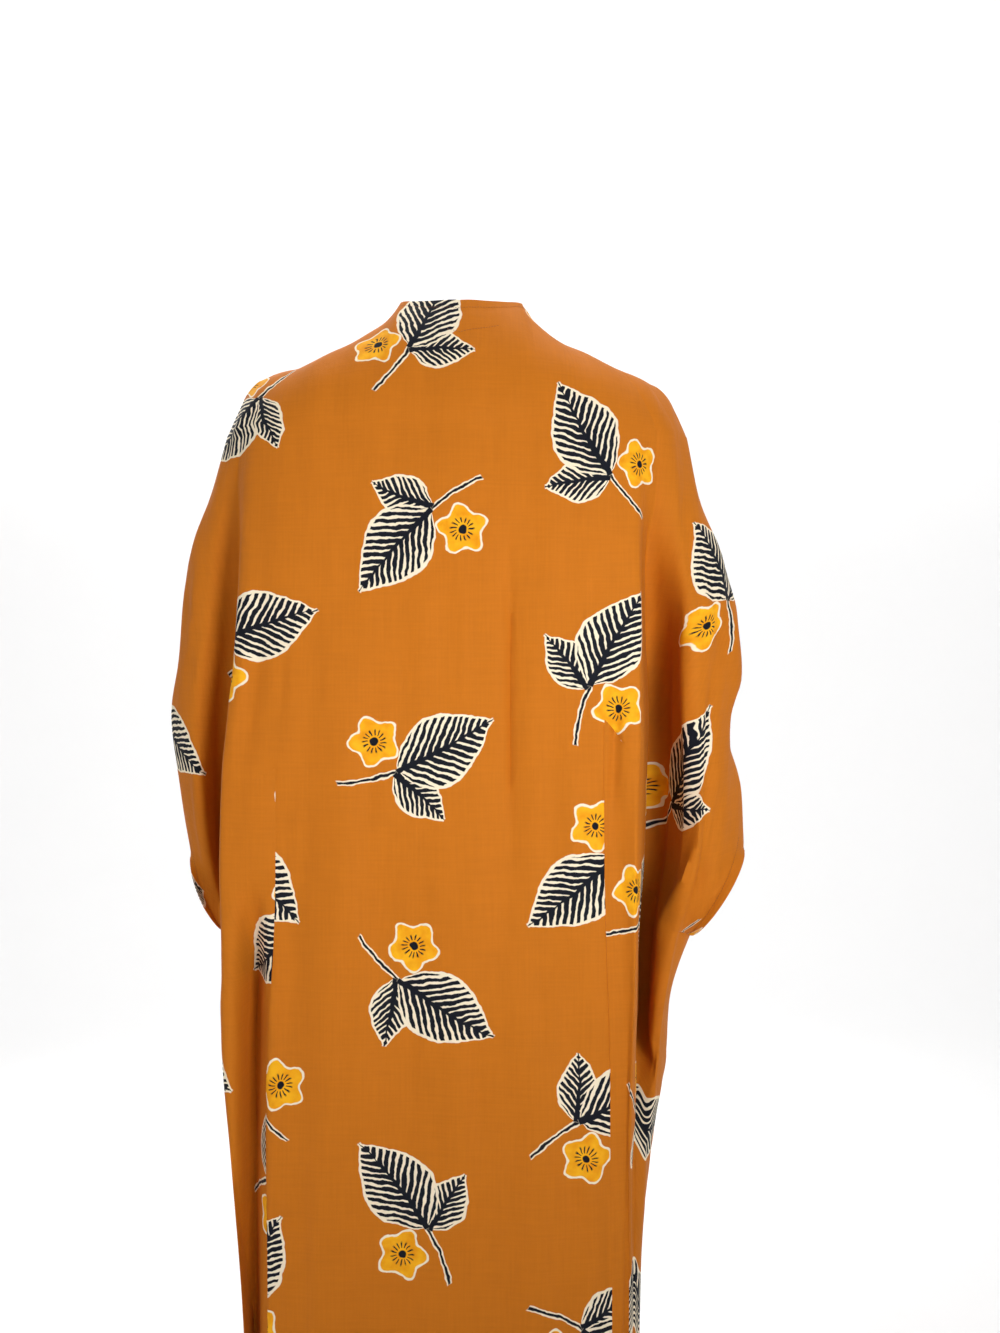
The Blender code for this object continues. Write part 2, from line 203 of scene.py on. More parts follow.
# How far round and down the sleeve the hollow above the cuff's opening is smoothed, in rows and
# columns of the grids.
CUFF_BLUR_ROWS = 2.2
CUFF_BLUR_COLUMNS = 5
CUFF_BLUR_END = 30
CUFF_BLUR_ROUNDS = 120

ARMHOLES = {"left": (505, 691), "right": (455, 696)}
CUFF_TOPS = {"left": 608, "right": 603}
CUFF_HALF_DEPTHS = {"left": 47, "right": 58}
UNDERARM_SHARES = {
    "back": {"seam": 0.0, "edge": 0.22, "dip": 0.8, "crest": 0.94, "side": 1.0},
    "front": {"side": 1.0, "front_crest": 0.9, "front_dip": 0.7, "front_edge": 0.3, "opening": 0.0},
}
HOLLOW = 1.6
YOKE_LEAD = {"middle": 0.62, "neck": 0.34, "side": 0.12}

# Columns run from the side round to the middle of the back or to the front opening: the turn they
# reach, how many columns the pattern grid has on the way, and how finely each is cut here.
BACK_STEPS = (("crest", 4, 4), ("dip", 3, 5), ("edge", 3, 7), ("seam", 5, 3), ("middle", 6, 7))
FRONT_STEPS = (("front_crest", 4, 4), ("front_dip", 3, 5), ("front_edge", 3, 7), ("opening", 8, 5))
NECK_STEPS = 3
YOKE_ROWS = 6
SLEEVE_ROWS = 7
CUFF_ROWS = 5
SKIRT_ROWS = 16
CUFF_TOP_ROW = YOKE_ROWS + SLEEVE_ROWS
UNDERARM_ROW = CUFF_TOP_ROW + CUFF_ROWS
ROWS = UNDERARM_ROW + SKIRT_ROWS
YOKE_CUTS = 5
YOKE_END = YOKE_ROWS * YOKE_CUTS
ROW_CUTS = ((0, YOKE_ROWS, YOKE_CUTS), (YOKE_ROWS, CUFF_TOP_ROW, 8), (CUFF_TOP_ROW, UNDERARM_ROW, 6),
            (UNDERARM_ROW, ROWS, 6))

# The lamps: name, place, the point they are turned to, width in metres, spread in degrees and
# power in watts.
WORLD_LIGHT = 0.03
LAMPS = (
    ("key", (-0.92, 1.82, -0.40), (0.0, 0.0, -0.33), 0.7, 60, 3.3),
    ("fill", (1.9, 2.1, 0.1), (0.0, 0.0, -0.5), 1.4, 180, 15.5),
    ("front", (0.9, -2.4, 0.5), (0.0, 0.0, -0.6), 1.8, 120, 14.0),
    ("rear", (0.0, 1.6, 2.7), (0.0, 4.4, 0.6), 2.4, 120, 9.0),
    ("backdrop", (0.0, -1.2, 2.6), (0.0, -3.6, -0.4), 3.0, 180, 172.0),
)

# Soft ripples that hang down through the whole cloth, in millimetres and turns.
RIPPLE_COLUMNS = ("across", "down", "turn", "height")
RIPPLES = ((47, 610, 0.1, 0.42), (-71, 830, 0.45, 0.50), (33, -450, 0.7, 0.26), (-112, 390, 0.2, 0.40))

# Seams sink into a shallow groove that puckers a little, and edges are turned in over this many fine
# rows or columns of the cloth's grids.
SEAM_SINK = 0.0006
UNDERARM_SINK = 0.3
SEAM_PUCKER = 0.0004
SEAM_SPREAD = 0.3
PUCKER_LENGTH = 0.017
PUCKER_SLANT = 0.93
NECKLINE_PLACE = 0.5
NECK_HEM = 2
EDGE_HEM = 3
CUFF_HEM = 3
FOOT_HEM = 3
NAPE_STITCH = {"drop": 0.052, "from": -0.042, "to": 0.015}
HEM_CLEARANCE = 1.04
STITCH_INSET = 0.3

# A stitch has rings of corners: how far ahead each ring lies and how wide it is, and how far each
# corner lies to the side and up, as shares of half the stitch and of the thread's width.
THREAD_RINGS = ((-1.0, 0.35), (-0.55, 1.0), (0.55, 1.0), (1.0, 0.35))
THREAD_CORNERS = ((-0.5, 0.0), (0.0, 0.4), (0.5, 0.0), (0.0, -0.4))
THREAD_LIFT = 0.2
THREAD_ROUGHNESS = 0.6
THREAD_DEEP_SHARE = 0.6
THREAD_TONE_SCALE = 240.0
THREAD_TWIST_SCALE = 900.0
THREAD_TWIST_HEIGHT = 0.0001

# How the print is drawn. The soft edge of its colours, the reach of the waver of its lines and the
# width of the cream round a shape are in metres.
LINE_BLUR = 0.0006
WAVER = 0.0062
WAVER_SCALES = (62.0, 71.0)
BRUSH_SCALE = 120.0
BRUSH_SHARE = 0.30
LEAF_FULLNESS = 0.8
LEAF_OVERRUN = 0.02
LEAF_MARGIN = 0.0020
LEAF_EDGE = 0.96
VEIN_SLANT = 1.05
VEIN_TAPER = 0.15
VEIN_HALF_WIDTH = 0.39
RIB_HALF_WIDTH = 0.0026
RIB_END = 1.2
STEM_BEND = 0.012
STEM_START = -0.1
STEM_END_BLUR = 0.02
STEM_HALF_WIDTH = 0.0014
STEM_BRUSH = 0.0016
STEM_MARGIN = 0.0030
BLOSSOM_PLACE = (0.037, -0.010)
PETALS = 5.0
PETAL_REACH = 0.86
PETAL_WAVE = 0.14
BLOSSOM_MARGIN = 0.0024
EYE_SHARE = 0.16
RAYS_PER_PETAL = 3.0
RAY_START = 0.24
RAY_END = 0.48
RAY_END_BLUR = 0.002
RAY_WIDTH = 0.45

# The leaves of a sprig: size and vein spacing as shares of the large leaf's, how far the tip bends to
# the side in metres, and for the small one the turn from the large one and its foot.
LARGE_LEAF = {"size": 1.0, "spacing": 1.0, "bend": 0.010}
SMALL_LEAF = {"size": 0.62, "spacing": 0.8, "bend": -0.006, "turn": 1.05, "foot": (0.002, 0.004)}

# The sprigs come in this many kinds, which follow each other by these steps from column to column and
# from row to row. Each kind has its own sway in metres and its own turn.
KINDS = 5.0
KIND_STEPS = (2.0, 3.0)
SWAY = 0.016
SWAY_TURN = 2.3
KIND_TURN = 1.75
FIRST_TURN = 0.45
SPRIG_FOOT = 0.020

# The surface of the cloth: how its slubs are stretched across and down, and how the slubs, the threads
# and the crumple shade it and rise, in metres.
SLUB_SCALES = ((480.0, 17.0), (20.0, 440.0))
SLUB_SHADE = 0.6
SLUB_HEIGHT = 0.00022
TONE_SCALE = 26.0
TONE_SHADE = 0.35
DEEP_SHARE = 0.80
PAINT_SCALE = 70.0
PAINT_CONTRAST = 2.4
PAINT_START = -0.85
WEAVE_HEIGHT = 0.00002
CRUMPLE_STRETCH = (1.0, 0.4)
CRUMPLE_SCALE = 75.0
CRUMPLE_HEIGHT = 0.0024
BUMP_STRENGTH = 0.6
SHEEN_ROUGHNESS = 0.4

# How finely the round floor is cut, round the room and up its bend.
FLOOR_TURNS = 64
FLOOR_BENDS = 10

# Faces that meet at more than this angle are the cut edges of the cloth.
EDGE_ANGLE = math.radians(70)

# How far the print is moved across and down each piece, in metres, and how much of it is lost on the
# wrong side of the cloth.
BACK_SHIFT = (0.05, 0.008)
FRONT_SHIFTS = {"left": (0.11, 0.07), "right": (0.045, 0.162)}
WRONG_SIDE_FADE = 0.55

SIDES = {"left": 1, "right": -1}
SECTIONS = {"left": np.array(LEFT_SECTIONS, float), "right": np.array(RIGHT_SECTIONS, float)}
SHOULDERS = {"left": np.array(LEFT_SHOULDER, float), "right": np.array(RIGHT_SHOULDER, float)}
FRONTS = np.array(FRONT_SECTIONS, float)


def smooth(knots, values, at):
    """Values at places along smooth curves through knots, which never overshoot them."""
    at = np.asarray(at, float)
    values = np.broadcast_to(np.asarray(values, float), at.shape + (len(knots),))
    gaps = np.diff(knots)
    rises = np.diff(values, axis=-1) / gaps
    before, after = rises[..., :-1], rises[..., 1:]
    steady = before * after > 0
    slopes = np.zeros(values.shape)
    slopes[..., 0], slopes[..., -1] = rises[..., 0], rises[..., -1]
    slopes[..., 1:-1] = np.where(steady, 2 * before * after / np.where(steady, before + after, 1), 0)
    at = np.clip(at, knots[0], knots[-1])
    low = np.clip(np.searchsorted(knots, at, side="right") - 1, 0, len(knots) - 2)

    def take(table, index):
        return np.take_along_axis(table, index[..., None], -1)[..., 0]

    gap = gaps[low]
    share = (at - np.asarray(knots, float)[low]) / gap
    rest = 1 - share
    return (
        take(values, low) * (1 + 2 * share) * rest**2
        + take(slopes, low) * gap * share * rest**2
        + take(values, low + 1) * share**2 * (3 - 2 * share)
        - take(slopes, low + 1) * gap * share**2 * rest
    )


def ease(share):
    """Turns a share from 0 to 1 into one that starts and ends softly."""
    share = np.clip(share, 0, 1)
    return share * share * (3 - 2 * share)


def read(table, columns, name, at):
    """Values of one named column of a table, at places along its first column."""
    return smooth(table[:, 0], table[:, columns.index(name)], at)


def turning_points(side, drop):
    """The corners of half a level section at each drop, as outs and backs."""

    def back(name):
        return read(SECTIONS[side], SECTION_COLUMNS, name, drop)

    def front(name):
        return read(FRONTS, FRONT_COLUMNS, name, drop)

    level = np.full(drop.shape, float(SIDE_BACK))
    outs = (0 * drop, back("seam_out"), back("edge_out"), back("dip_out"), back("crest_out"),
            back("side_out"), back("crest_out"), back("dip_out"), back("edge_out"), front("opening_out"))
    backs = (back("middle_back"), back("seam_back"), back("edge_back"), back("dip_back"),
             back("crest_back"), level, -front("crest_front"), -front("dip_front"),
             -front("edge_front"), -front("opening_front"))
    return np.stack(outs, -1), np.stack(backs, -1)


def column_places(steps):
    """The place of every pattern column, counted from the side."""
    places = [float(TURNS.index("side"))]
    for name, count, _ in steps:
        start, end = places[-1], TURNS.index(name)
        places += [start + (end - start) * (n + 1) / count for n in range(count)]
    return places


def fine_columns(steps):
    """The columns of the fine grid, in pattern columns from the side."""
    columns, start = [0.0], 0
    for _, count, cuts in steps:
        columns += [start + (n + 1) / cuts for n in range(count * cuts)]
        start += count
    return np.array(columns)


def fine_rows():
    rows = [0.0]
    for start, end, cuts in ROW_CUTS:
        rows += [start + (n + 1) / cuts for n in range((end - start) * cuts)]
    return np.array(rows)


STEPS = {"back": BACK_STEPS, "front": FRONT_STEPS}
PLACES = {layer: column_places(steps) for layer, steps in STEPS.items()}
NECK_COLUMN = len(PLACES["back"]) - 1 - NECK_STEPS


def underarm_share(layer, place):
    shares = UNDERARM_SHARES[layer]
    return np.interp(place, [TURNS.index(name) for name in shares], list(shares.values()))


def cuff_points(side, layer, row):
    """The cuff's edge: an oval that slopes in towards the body."""
    low_drop, top_drop = ARMHOLES[side][1], CUFF_TOPS[side]
    ends = read(SECTIONS[side], SECTION_COLUMNS, "side_out", np.array((low_drop, top_drop)))
    turn = np.pi * (row - CUFF_TOP_ROW) / CUFF_ROWS
    reach = (1 + np.cos(turn)) / 2
    depth = CUFF_HALF_DEPTHS[side] * np.sin(turn) * (1 if layer == "back" else -1)
    out = ends[0] + (ends[1] - ends[0]) * reach
    return out, depth + SIDE_BACK, low_drop + (top_drop - low_drop) * reach


def sleeve_drop(side, layer, place, row):
    """How far down the points of the sleeve and upper body lie, on rows that end at the underarm."""
    start_drop, low_drop = ARMHOLES[side]
    share = underarm_share(layer, place)
    foot = start_drop + (low_drop - start_drop) * share
    even = (row - YOKE_ROWS) / (UNDERARM_ROW - YOKE_ROWS)
    top_share = (CUFF_TOPS[side] - YOKE_DROP) / (low_drop - YOKE_DROP)
    reach = (1 + np.cos(np.pi * (row - CUFF_TOP_ROW) / CUFF_ROWS)) / 2
    above = top_share * (row - YOKE_ROWS) / SLEEVE_ROWS
    uneven = np.where(row <= CUFF_TOP_ROW, above, 1 - (1 - top_share) * reach)
    return YOKE_DROP + (foot - YOKE_DROP) * (even + (uneven - even) * share)


def hollowed(place):
    """Keeps the fold behind the arm deep until just before the crest of the sleeve."""
    dip = TURNS.index("dip")
    inside = (place > dip) & (place < dip + 1)
    return np.where(inside, dip + np.clip(place - dip, 0, 1) ** HOLLOW, place)


def section_points(side, layer, place, drop, cuff=None):
    outs, backs = turning_points(side, drop)
    place = np.broadcast_to(place, drop.shape)
    knots = np.arange(len(TURNS))
    if cuff is not None:
        turn = TURNS.index("side")
        outs[..., turn], backs[..., turn] = cuff[0], cuff[1]
        half = slice(0, turn + 1) if layer == "back" else slice(turn, None)
        knots, outs, backs = knots[half], outs[..., half], backs[..., half]
    return smooth(knots, outs, place), smooth(knots, backs, hollowed(place))


def yoke_points(side, layer, column, row):
    """The cloth between the shoulder seam or neckline and the first level section."""
    shoulder = SHOULDERS[side]
    place = np.interp(column, range(len(PLACES[layer])), PLACES[layer])
    end_out, end_back = section_points(side, layer, place, np.full(place.shape, float(YOKE_DROP)))
    share = np.clip(column / NECK_COLUMN, 0, 1)
    neck = np.clip((column - NECK_COLUMN) / NECK_STEPS, 0, 1)
    round_share = np.sqrt(1 - (1 - neck) ** 2)
    out = shoulder[-1, 0] + (NECK_HALF_WIDTH - shoulder[-1, 0]) * share
    drop = read(shoulder, SHOULDER_COLUMNS, "drop", out)
    out = out * (1 - neck)
    back = NECK_BACK * round_share
    drop = drop + (NECK_DIP - drop) * round_share
    lead = YOKE_LEAD["side"] + (YOKE_LEAD["neck"] - YOKE_LEAD["side"]) * share**3
    lead = lead + (YOKE_LEAD["middle"] - YOKE_LEAD["neck"]) * neck
    along = row / YOKE_ROWS
    first, second, third = (1 - along) ** 2, 2 * along * (1 - along), along**2
    return (
        first * out + second * (out + end_out) / 2 + third * end_out,
        first * back + (second + third) * end_back,
        first * drop + second * (drop + (YOKE_DROP - drop) * lead) + third * YOKE_DROP,
    )


def layer_grid(side, layer, columns, rows):
    """The cloth of one layer of one side before its folds: outs, backs, drops and places."""
    column, row = np.meshgrid(columns, rows, indexing="ij")
    place = np.interp(column, range(len(PLACES[layer])), PLACES[layer])
    out, back, drop = yoke_points(side, layer, column, np.minimum(row, YOKE_ROWS))
    low = row > YOKE_ROWS
    start = sleeve_drop(side, layer, place, np.clip(row, YOKE_ROWS, UNDERARM_ROW))
    skirt = np.maximum(row - UNDERARM_ROW, 0) / SKIRT_ROWS
    level = start + (LENGTH - start) * skirt
    level_out, level_back = section_points(side, layer, place, level)
    out, back = np.where(low, level_out, out), np.where(low, level_back, back)
    drop = np.where(low, level, drop)
    at_cuff = (rows > CUFF_TOP_ROW) & (rows < UNDERARM_ROW)
    cuff = cuff_points(side, layer, row[:, at_cuff])
    pulled = section_points(side, layer, place[:, at_cuff], drop[:, at_cuff], cuff)
    out[:, at_cuff], back[:, at_cuff] = pulled
    drop[0, at_cuff] = cuff[2][0]
    return out, back, drop, place


def soften_cuff(points, rows):
    """Rounds the hollow that the cuff's opening would leave in the sleeve above it."""
    reach = np.exp(-(((rows - CUFF_TOP_ROW - 0.5) / CUFF_BLUR_ROWS) ** 2))
    inner = ease(np.arange(len(points)) / CUFF_BLUR_COLUMNS)
    inner = inner * ease((CUFF_BLUR_END - np.arange(len(points))) / CUFF_BLUR_COLUMNS)
    weight = (inner[:, None] * reach)[..., None] * 0.5
    for _ in range(CUFF_BLUR_ROUNDS):
        mean = points.copy()
        mean[:, 1:-1] = (points[:, 2:] + points[:, :-2]) / 2
        points = points + (mean - points) * weight
    return points


def add_folds(layer, x, back, drop, place):
    """Lifts the cloth at its long folds, in the flat stretches of the back and the fronts."""
    lift = np.zeros(x.shape)
    for row in FOLDS:
        fold = dict(zip(FOLD_COLUMNS, row))
        if fold["layer"] != layer:
            continue
        along = (drop - fold["drop_top"]) / (fold["drop_foot"] - fold["drop_top"])
        middle = fold["out_top"] + (fold["out_foot"] - fold["out_top"]) * along
        across = (x - middle) / fold["half_width"]
        fade = np.clip(along / FOLD_FADE, 0, 1)
        if fold["drop_foot"] < LENGTH:
            fade = np.minimum(fade, np.clip((1 - along) / FOLD_FADE, 0, 1))
        lift += fold["height"] * np.exp(-across * across) * ease(fade)
    behind = layer == "back"
    inside = TURNS.index("edge") - place if behind else place - TURNS.index("front_edge")
    flat = np.clip(inside / FOLD_EDGE, 0, 1)
    return back + lift * flat * (1 if behind else -1)


def falls(points):
    """Length down each column of a grid, from the row where the yoke ends."""
    steps = np.linalg.norm(np.diff(points, axis=1), axis=-1)
    fall = np.concatenate((np.zeros((len(points), 1)), np.cumsum(steps, axis=1)), axis=1)
    return fall - fall[:, YOKE_END : YOKE_END + 1]


def widths(points):
    """Width of cloth from the first column of a grid, measured square to the columns."""
    down = np.gradient(points, axis=1)
    down /= np.maximum(np.linalg.norm(down, axis=-1, keepdims=True), 1e-12)
    down = (down[1:] + down[:-1]) / 2
    steps = np.diff(points, axis=0)
    steps -= down * (steps * down).sum(-1, keepdims=True)
    steps = np.linalg.norm(steps, axis=-1)
    return np.concatenate((np.zeros((1, steps.shape[1])), np.cumsum(steps, axis=0)))


def crease_heights(side, place, drop, arc):
    """How far the small creases lift the cloth. Arc is the width along each row."""
    total = np.zeros(place.shape)
    low, high = place.min(), place.max()
    rate = np.abs(np.gradient(arc, axis=0) / np.gradient(place, axis=0))
    for row in CREASES:
        crease = dict(zip(CREASE_COLUMNS, row))
        if crease["side"] != side or not low <= crease["place_top"] <= high:
            continue
        along = (drop - crease["drop_top"]) / (crease["drop_foot"] - crease["drop_top"])
        middle = crease["place_top"] + (crease["place_foot"] - crease["place_top"]) * along
        across = (place - middle) * rate / (crease["half_width"] * MM)
        fade = ease(np.clip(along / CREASE_FADE, 0, 1)) * ease(np.clip((1 - along) / CREASE_FADE, 0, 1))
        total += crease["height"] * np.exp(-across * across) * fade
    return total * MM


def ripple_heights(arc, fall):
    """How far the soft ripples lift the cloth."""
    total = np.zeros(arc.shape)
    for row in RIPPLES:
        ripple = dict(zip(RIPPLE_COLUMNS, row))
        turn = arc / (ripple["across"] * MM) + fall / (ripple["down"] * MM) + ripple["turn"]
        total += ripple["height"] * np.sin(2 * math.pi * turn)
    return total * MM


def grid_normals(points, outward):
    """Unit normals of a grid of points, on the side where outward is positive."""
    normals = np.cross(np.gradient(points, axis=0), np.gradient(points, axis=1))
    normals /= np.maximum(np.linalg.norm(normals, axis=-1, keepdims=True), 1e-12)
    return normals * outward


class Cloth:
    """The whole coat as fine grids: the back from left side to right side, and the two fronts."""

    def __init__(self, settings):
        rows = fine_rows()
        self.rows = rows
        back_columns, front_columns = fine_columns(BACK_STEPS), fine_columns(FRONT_STEPS)
        self.grids = {}
        halves = {}
        for side, sign in SIDES.items():
            for layer, columns in (("back", back_columns), ("front", front_columns)):
                out, back, drop, place = layer_grid(side, layer, columns, rows)
                x = out * sign
                back = add_folds(layer, x, back, drop, place)
                points = soften_cuff(np.stack((x, back, -drop), -1) * MM, rows)
                arc = widths(points[::-1])[::-1] if layer == "back" else widths(points)
                lift = crease_heights(side, place, drop, arc) + ripple_heights(arc, falls(points))
                lift = lift * settings.crease_depth
                halves[side, layer] = points, arc, place, lift
        left, right = halves["left", "back"], halves["right", "back"]
        self.add_grid("back", np.concatenate((left[0], right[0][-2::-1])),
                      np.concatenate((left[1], -right[1][-2::-1])),
                      np.concatenate((left[2], -right[2][-2::-1])),
                      np.concatenate((left[3], right[3][-2::-1])), -1)
        for side, sign in SIDES.items():
            points, arc, place, lift = halves[side, "front"]
            self.add_grid("front_" + side, points, arc, place, lift, sign)
        self.join_sides()
        self.join_shoulders(back_columns, front_columns)
        self.sink_seams()
        for name, grid in self.grids.items():
            grid["points"] = grid["points"] + grid["normals"] * grid["lift"][..., None]

    def add_grid(self, name, points, arc, place, lift, outward):
        self.grids[name] = {
            "points": points,
            "arc": arc,
            "place": place,
            "lift": lift,
            "fall": falls(points),
            "normals": grid_normals(points, outward),
        }

    def join_sides(self):
        """Gives both layers the same normals and lift where they meet."""
        back = self.grids["back"]
        closed = (self.rows <= CUFF_TOP_ROW) | (self.rows >= UNDERARM_ROW)
        for side, column, beside in (("left", 0, 1), ("right", -1, -2)):
            front = self.grids["front_" + side]
            mean = back["normals"][beside][closed] + front["normals"][1][closed]
            mean /= np.linalg.norm(mean, axis=-1, keepdims=True)
            lift = (back["lift"][column][closed] + front["lift"][0][closed]) / 2
            for grid, end in ((back, column), (front, 0)):
                grid["normals"][end][closed] = mean
                grid["lift"][end][closed] = lift

    def join_shoulders(self, back_columns, front_columns):
        """Gives both layers the same normals along the shoulder seams."""
        back = self.grids["back"]["normals"]
        halves = {"left": back[: len(back_columns), 0], "right": back[: -len(back_columns) - 1 : -1, 0]}
        top = back_columns <= NECK_COLUMN
        for side, behind in halves.items():
            front = self.grids["front_" + side]["normals"][:, 0]
            ahead = np.stack([np.interp(back_columns, front_columns, axis) for axis in front.T], -1)
            mean = behind + ahead
            mean /= np.linalg.norm(mean, axis=-1, keepdims=True)
            front[:] = np.stack([np.interp(front_columns, back_columns, axis) for axis in mean.T], -1)
            behind[top] = mean[top]

    def sink_seams(self):
        """Sinks the cloth at its seams and its hems' stitches, with a small pucker along them."""
        for name, grid in self.grids.items():
            place = np.abs(grid["place"])
            depth = np.zeros(place.shape)
            depth[:, 0] = place[:, 0] >= NECKLINE_PLACE
            at_cuff = (self.rows > CUFF_TOP_ROW) & (self.rows < UNDERARM_ROW)
            if name == "back":
                under = self.rows >= UNDERARM_ROW
                depth += (np.abs(place - 1) < 1e-6) & under
                depth += ((np.abs(self.rows - UNDERARM_ROW) < 1e-6) & (place > 1)) * UNDERARM_SINK
                depth[-1 - CUFF_HEM, at_cuff] = 1
                depth[place[:, 0] < NECKLINE_PLACE, NECK_HEM] = 1
            else:
                depth[-1 - EDGE_HEM] = 1
            depth[:, -1 - FOOT_HEM] = 1
            depth[CUFF_HEM, at_cuff] = 1
            near = depth + SEAM_SPREAD * (np.roll(depth, 1, 0) + np.roll(depth, -1, 0))
            near = near + SEAM_SPREAD * (np.roll(depth, 1, 1) + np.roll(depth, -1, 1))
            wave = np.sin(2 * np.pi * (grid["arc"] + grid["fall"] * PUCKER_SLANT) / PUCKER_LENGTH)
            grid["lift"] = grid["lift"] - np.clip(depth, 0, 1) * SEAM_SINK
            grid["lift"] = grid["lift"] + np.clip(near - depth, 0, 1) * wave * SEAM_PUCKER


def cells_between(grid, rows, low_place, high_place, first_row, last_row):
    """Marks the cells of a grid in a range of places and of rows."""
    place = np.abs(grid["place"])
    place = (place[1:, :-1] + place[:-1, :-1]) / 2
    row = (rows[1:] + rows[:-1]) / 2
    return (place > low_place) & (place < high_place) & (row > first_row) & (row < last_row)


def lined(grid, shift):
    """The same grid, moved in from the cloth's middle by a distance."""
    return {"points": grid["points"] - grid["normals"] * shift, "normals": grid["normals"]}


def grid_line(grid, column=None, row=None, keep=slice(None)):
    """Points and normals along one column or row of a grid, which may lie between two."""
    found = []
    for key in ("points", "normals"):
        table = grid[key] if row is None else grid[key].transpose(1, 0, 2)
        at = column if row is None else row
        at = at if at >= 0 else len(table) - 1 + at
        low = int(math.floor(at))
        share = at - low
        found.append((table[low] * (1 - share) + table[min(low + 1, len(table) - 1)] * share)[keep])
    return found


class ThreadMaker:
    """Gathers rows of stitches and makes one mesh of them."""

    def __init__(self, name, settings):
        self.name = name
        self.settings = settings
        self.rings = []

    def row(self, line, shift):
        """Stitches along a line of points and normals, moved out from the cloth by a distance."""
        points, normals = line
        points = points + normals * shift
        along = np.concatenate(((0,), np.cumsum(np.linalg.norm(np.diff(points, axis=0), axis=-1))))
        pitch = self.settings.stitch_pitch
        count = int(along[-1] / pitch)
        middle = (np.arange(count) + 0.5) * pitch
        reach = self.settings.stitch_length / 2

        def at(values, where):
            return np.stack([np.interp(where, along, axis) for axis in values.T], -1)

        centre, up = at(points, middle), at(normals, middle)
        forward = at(points, middle + reach) - at(points, middle - reach)
        forward /= np.maximum(np.linalg.norm(forward, axis=-1, keepdims=True), 1e-9)
        across = np.cross(up, forward)
        width = self.settings.thread_width
        for ahead, size in THREAD_RINGS:
            for side, height in THREAD_CORNERS:
                self.rings.append(centre + forward * ahead * reach + across * side * width * size
                                  + up * height * width * size)

    def make(self):
        corners = len(THREAD_CORNERS)
        size = corners * len(THREAD_RINGS)
        rows = [self.rings[n : n + size] for n in range(0, len(self.rings), size)]
        points = np.concatenate([np.stack(row, 1).reshape(-1, 3) for row in rows])
        shape = [tuple(range(corners)), tuple(range(size - 1, size - 1 - corners, -1))]
        for ring in range(0, size - corners, corners):
            for n in range(corners):
                after = (n + 1) % corners
                shape.append((ring + after, ring + n, ring + n + corners, ring + after + corners))
        starts = np.arange(len(points) // size)[:, None, None] * size
        faces = (starts + np.array(shape)).reshape(-1, corners)
        mesh = bpy.data.meshes.new(self.name)
        mesh.from_pydata(points.tolist(), [], faces.tolist())
        mesh.shade_smooth()
        threads = bpy.data.objects.new(self.name, mesh)
        bpy.context.scene.collection.objects.link(threads)
        mesh.materials.append(thread_material(self.name, self.settings))
        return threads


def thread_material(name, settings):
    """Sewing thread a little darker than the cloth, with the twist of its plies."""
    material = bpy.data.materials.new(name)
    material.use_nodes = True
    tree = material.node_tree
    shader = tree.nodes["Principled BSDF"]
    sums = NodeSums(tree)
    where = sums.node("ShaderNodeTexCoord").outputs["Object"]
    tone = sums.noise(where, THREAD_TONE_SCALE)
    dark = [value * THREAD_DEEP_SHARE for value in settings.thread_colour]
    tree.links.new(sums.blend(tone, dark, settings.thread_colour), shader.inputs["Base Color"])
    twist = sums.node("ShaderNodeTexWave", bands_direction="DIAGONAL")
    twist.inputs["Scale"].default_value = THREAD_TWIST_SCALE
    tree.links.new(where, twist.inputs["Vector"])
    bump = sums.node("ShaderNodeBump")
    bump.inputs["Distance"].default_value = THREAD_TWIST_HEIGHT
    tree.links.new(twist.outputs["Fac"], bump.inputs["Height"])
    tree.links.new(bump.outputs["Normal"], shader.inputs["Normal"])
    shader.inputs["Roughness"].default_value = THREAD_ROUGHNESS
    return material


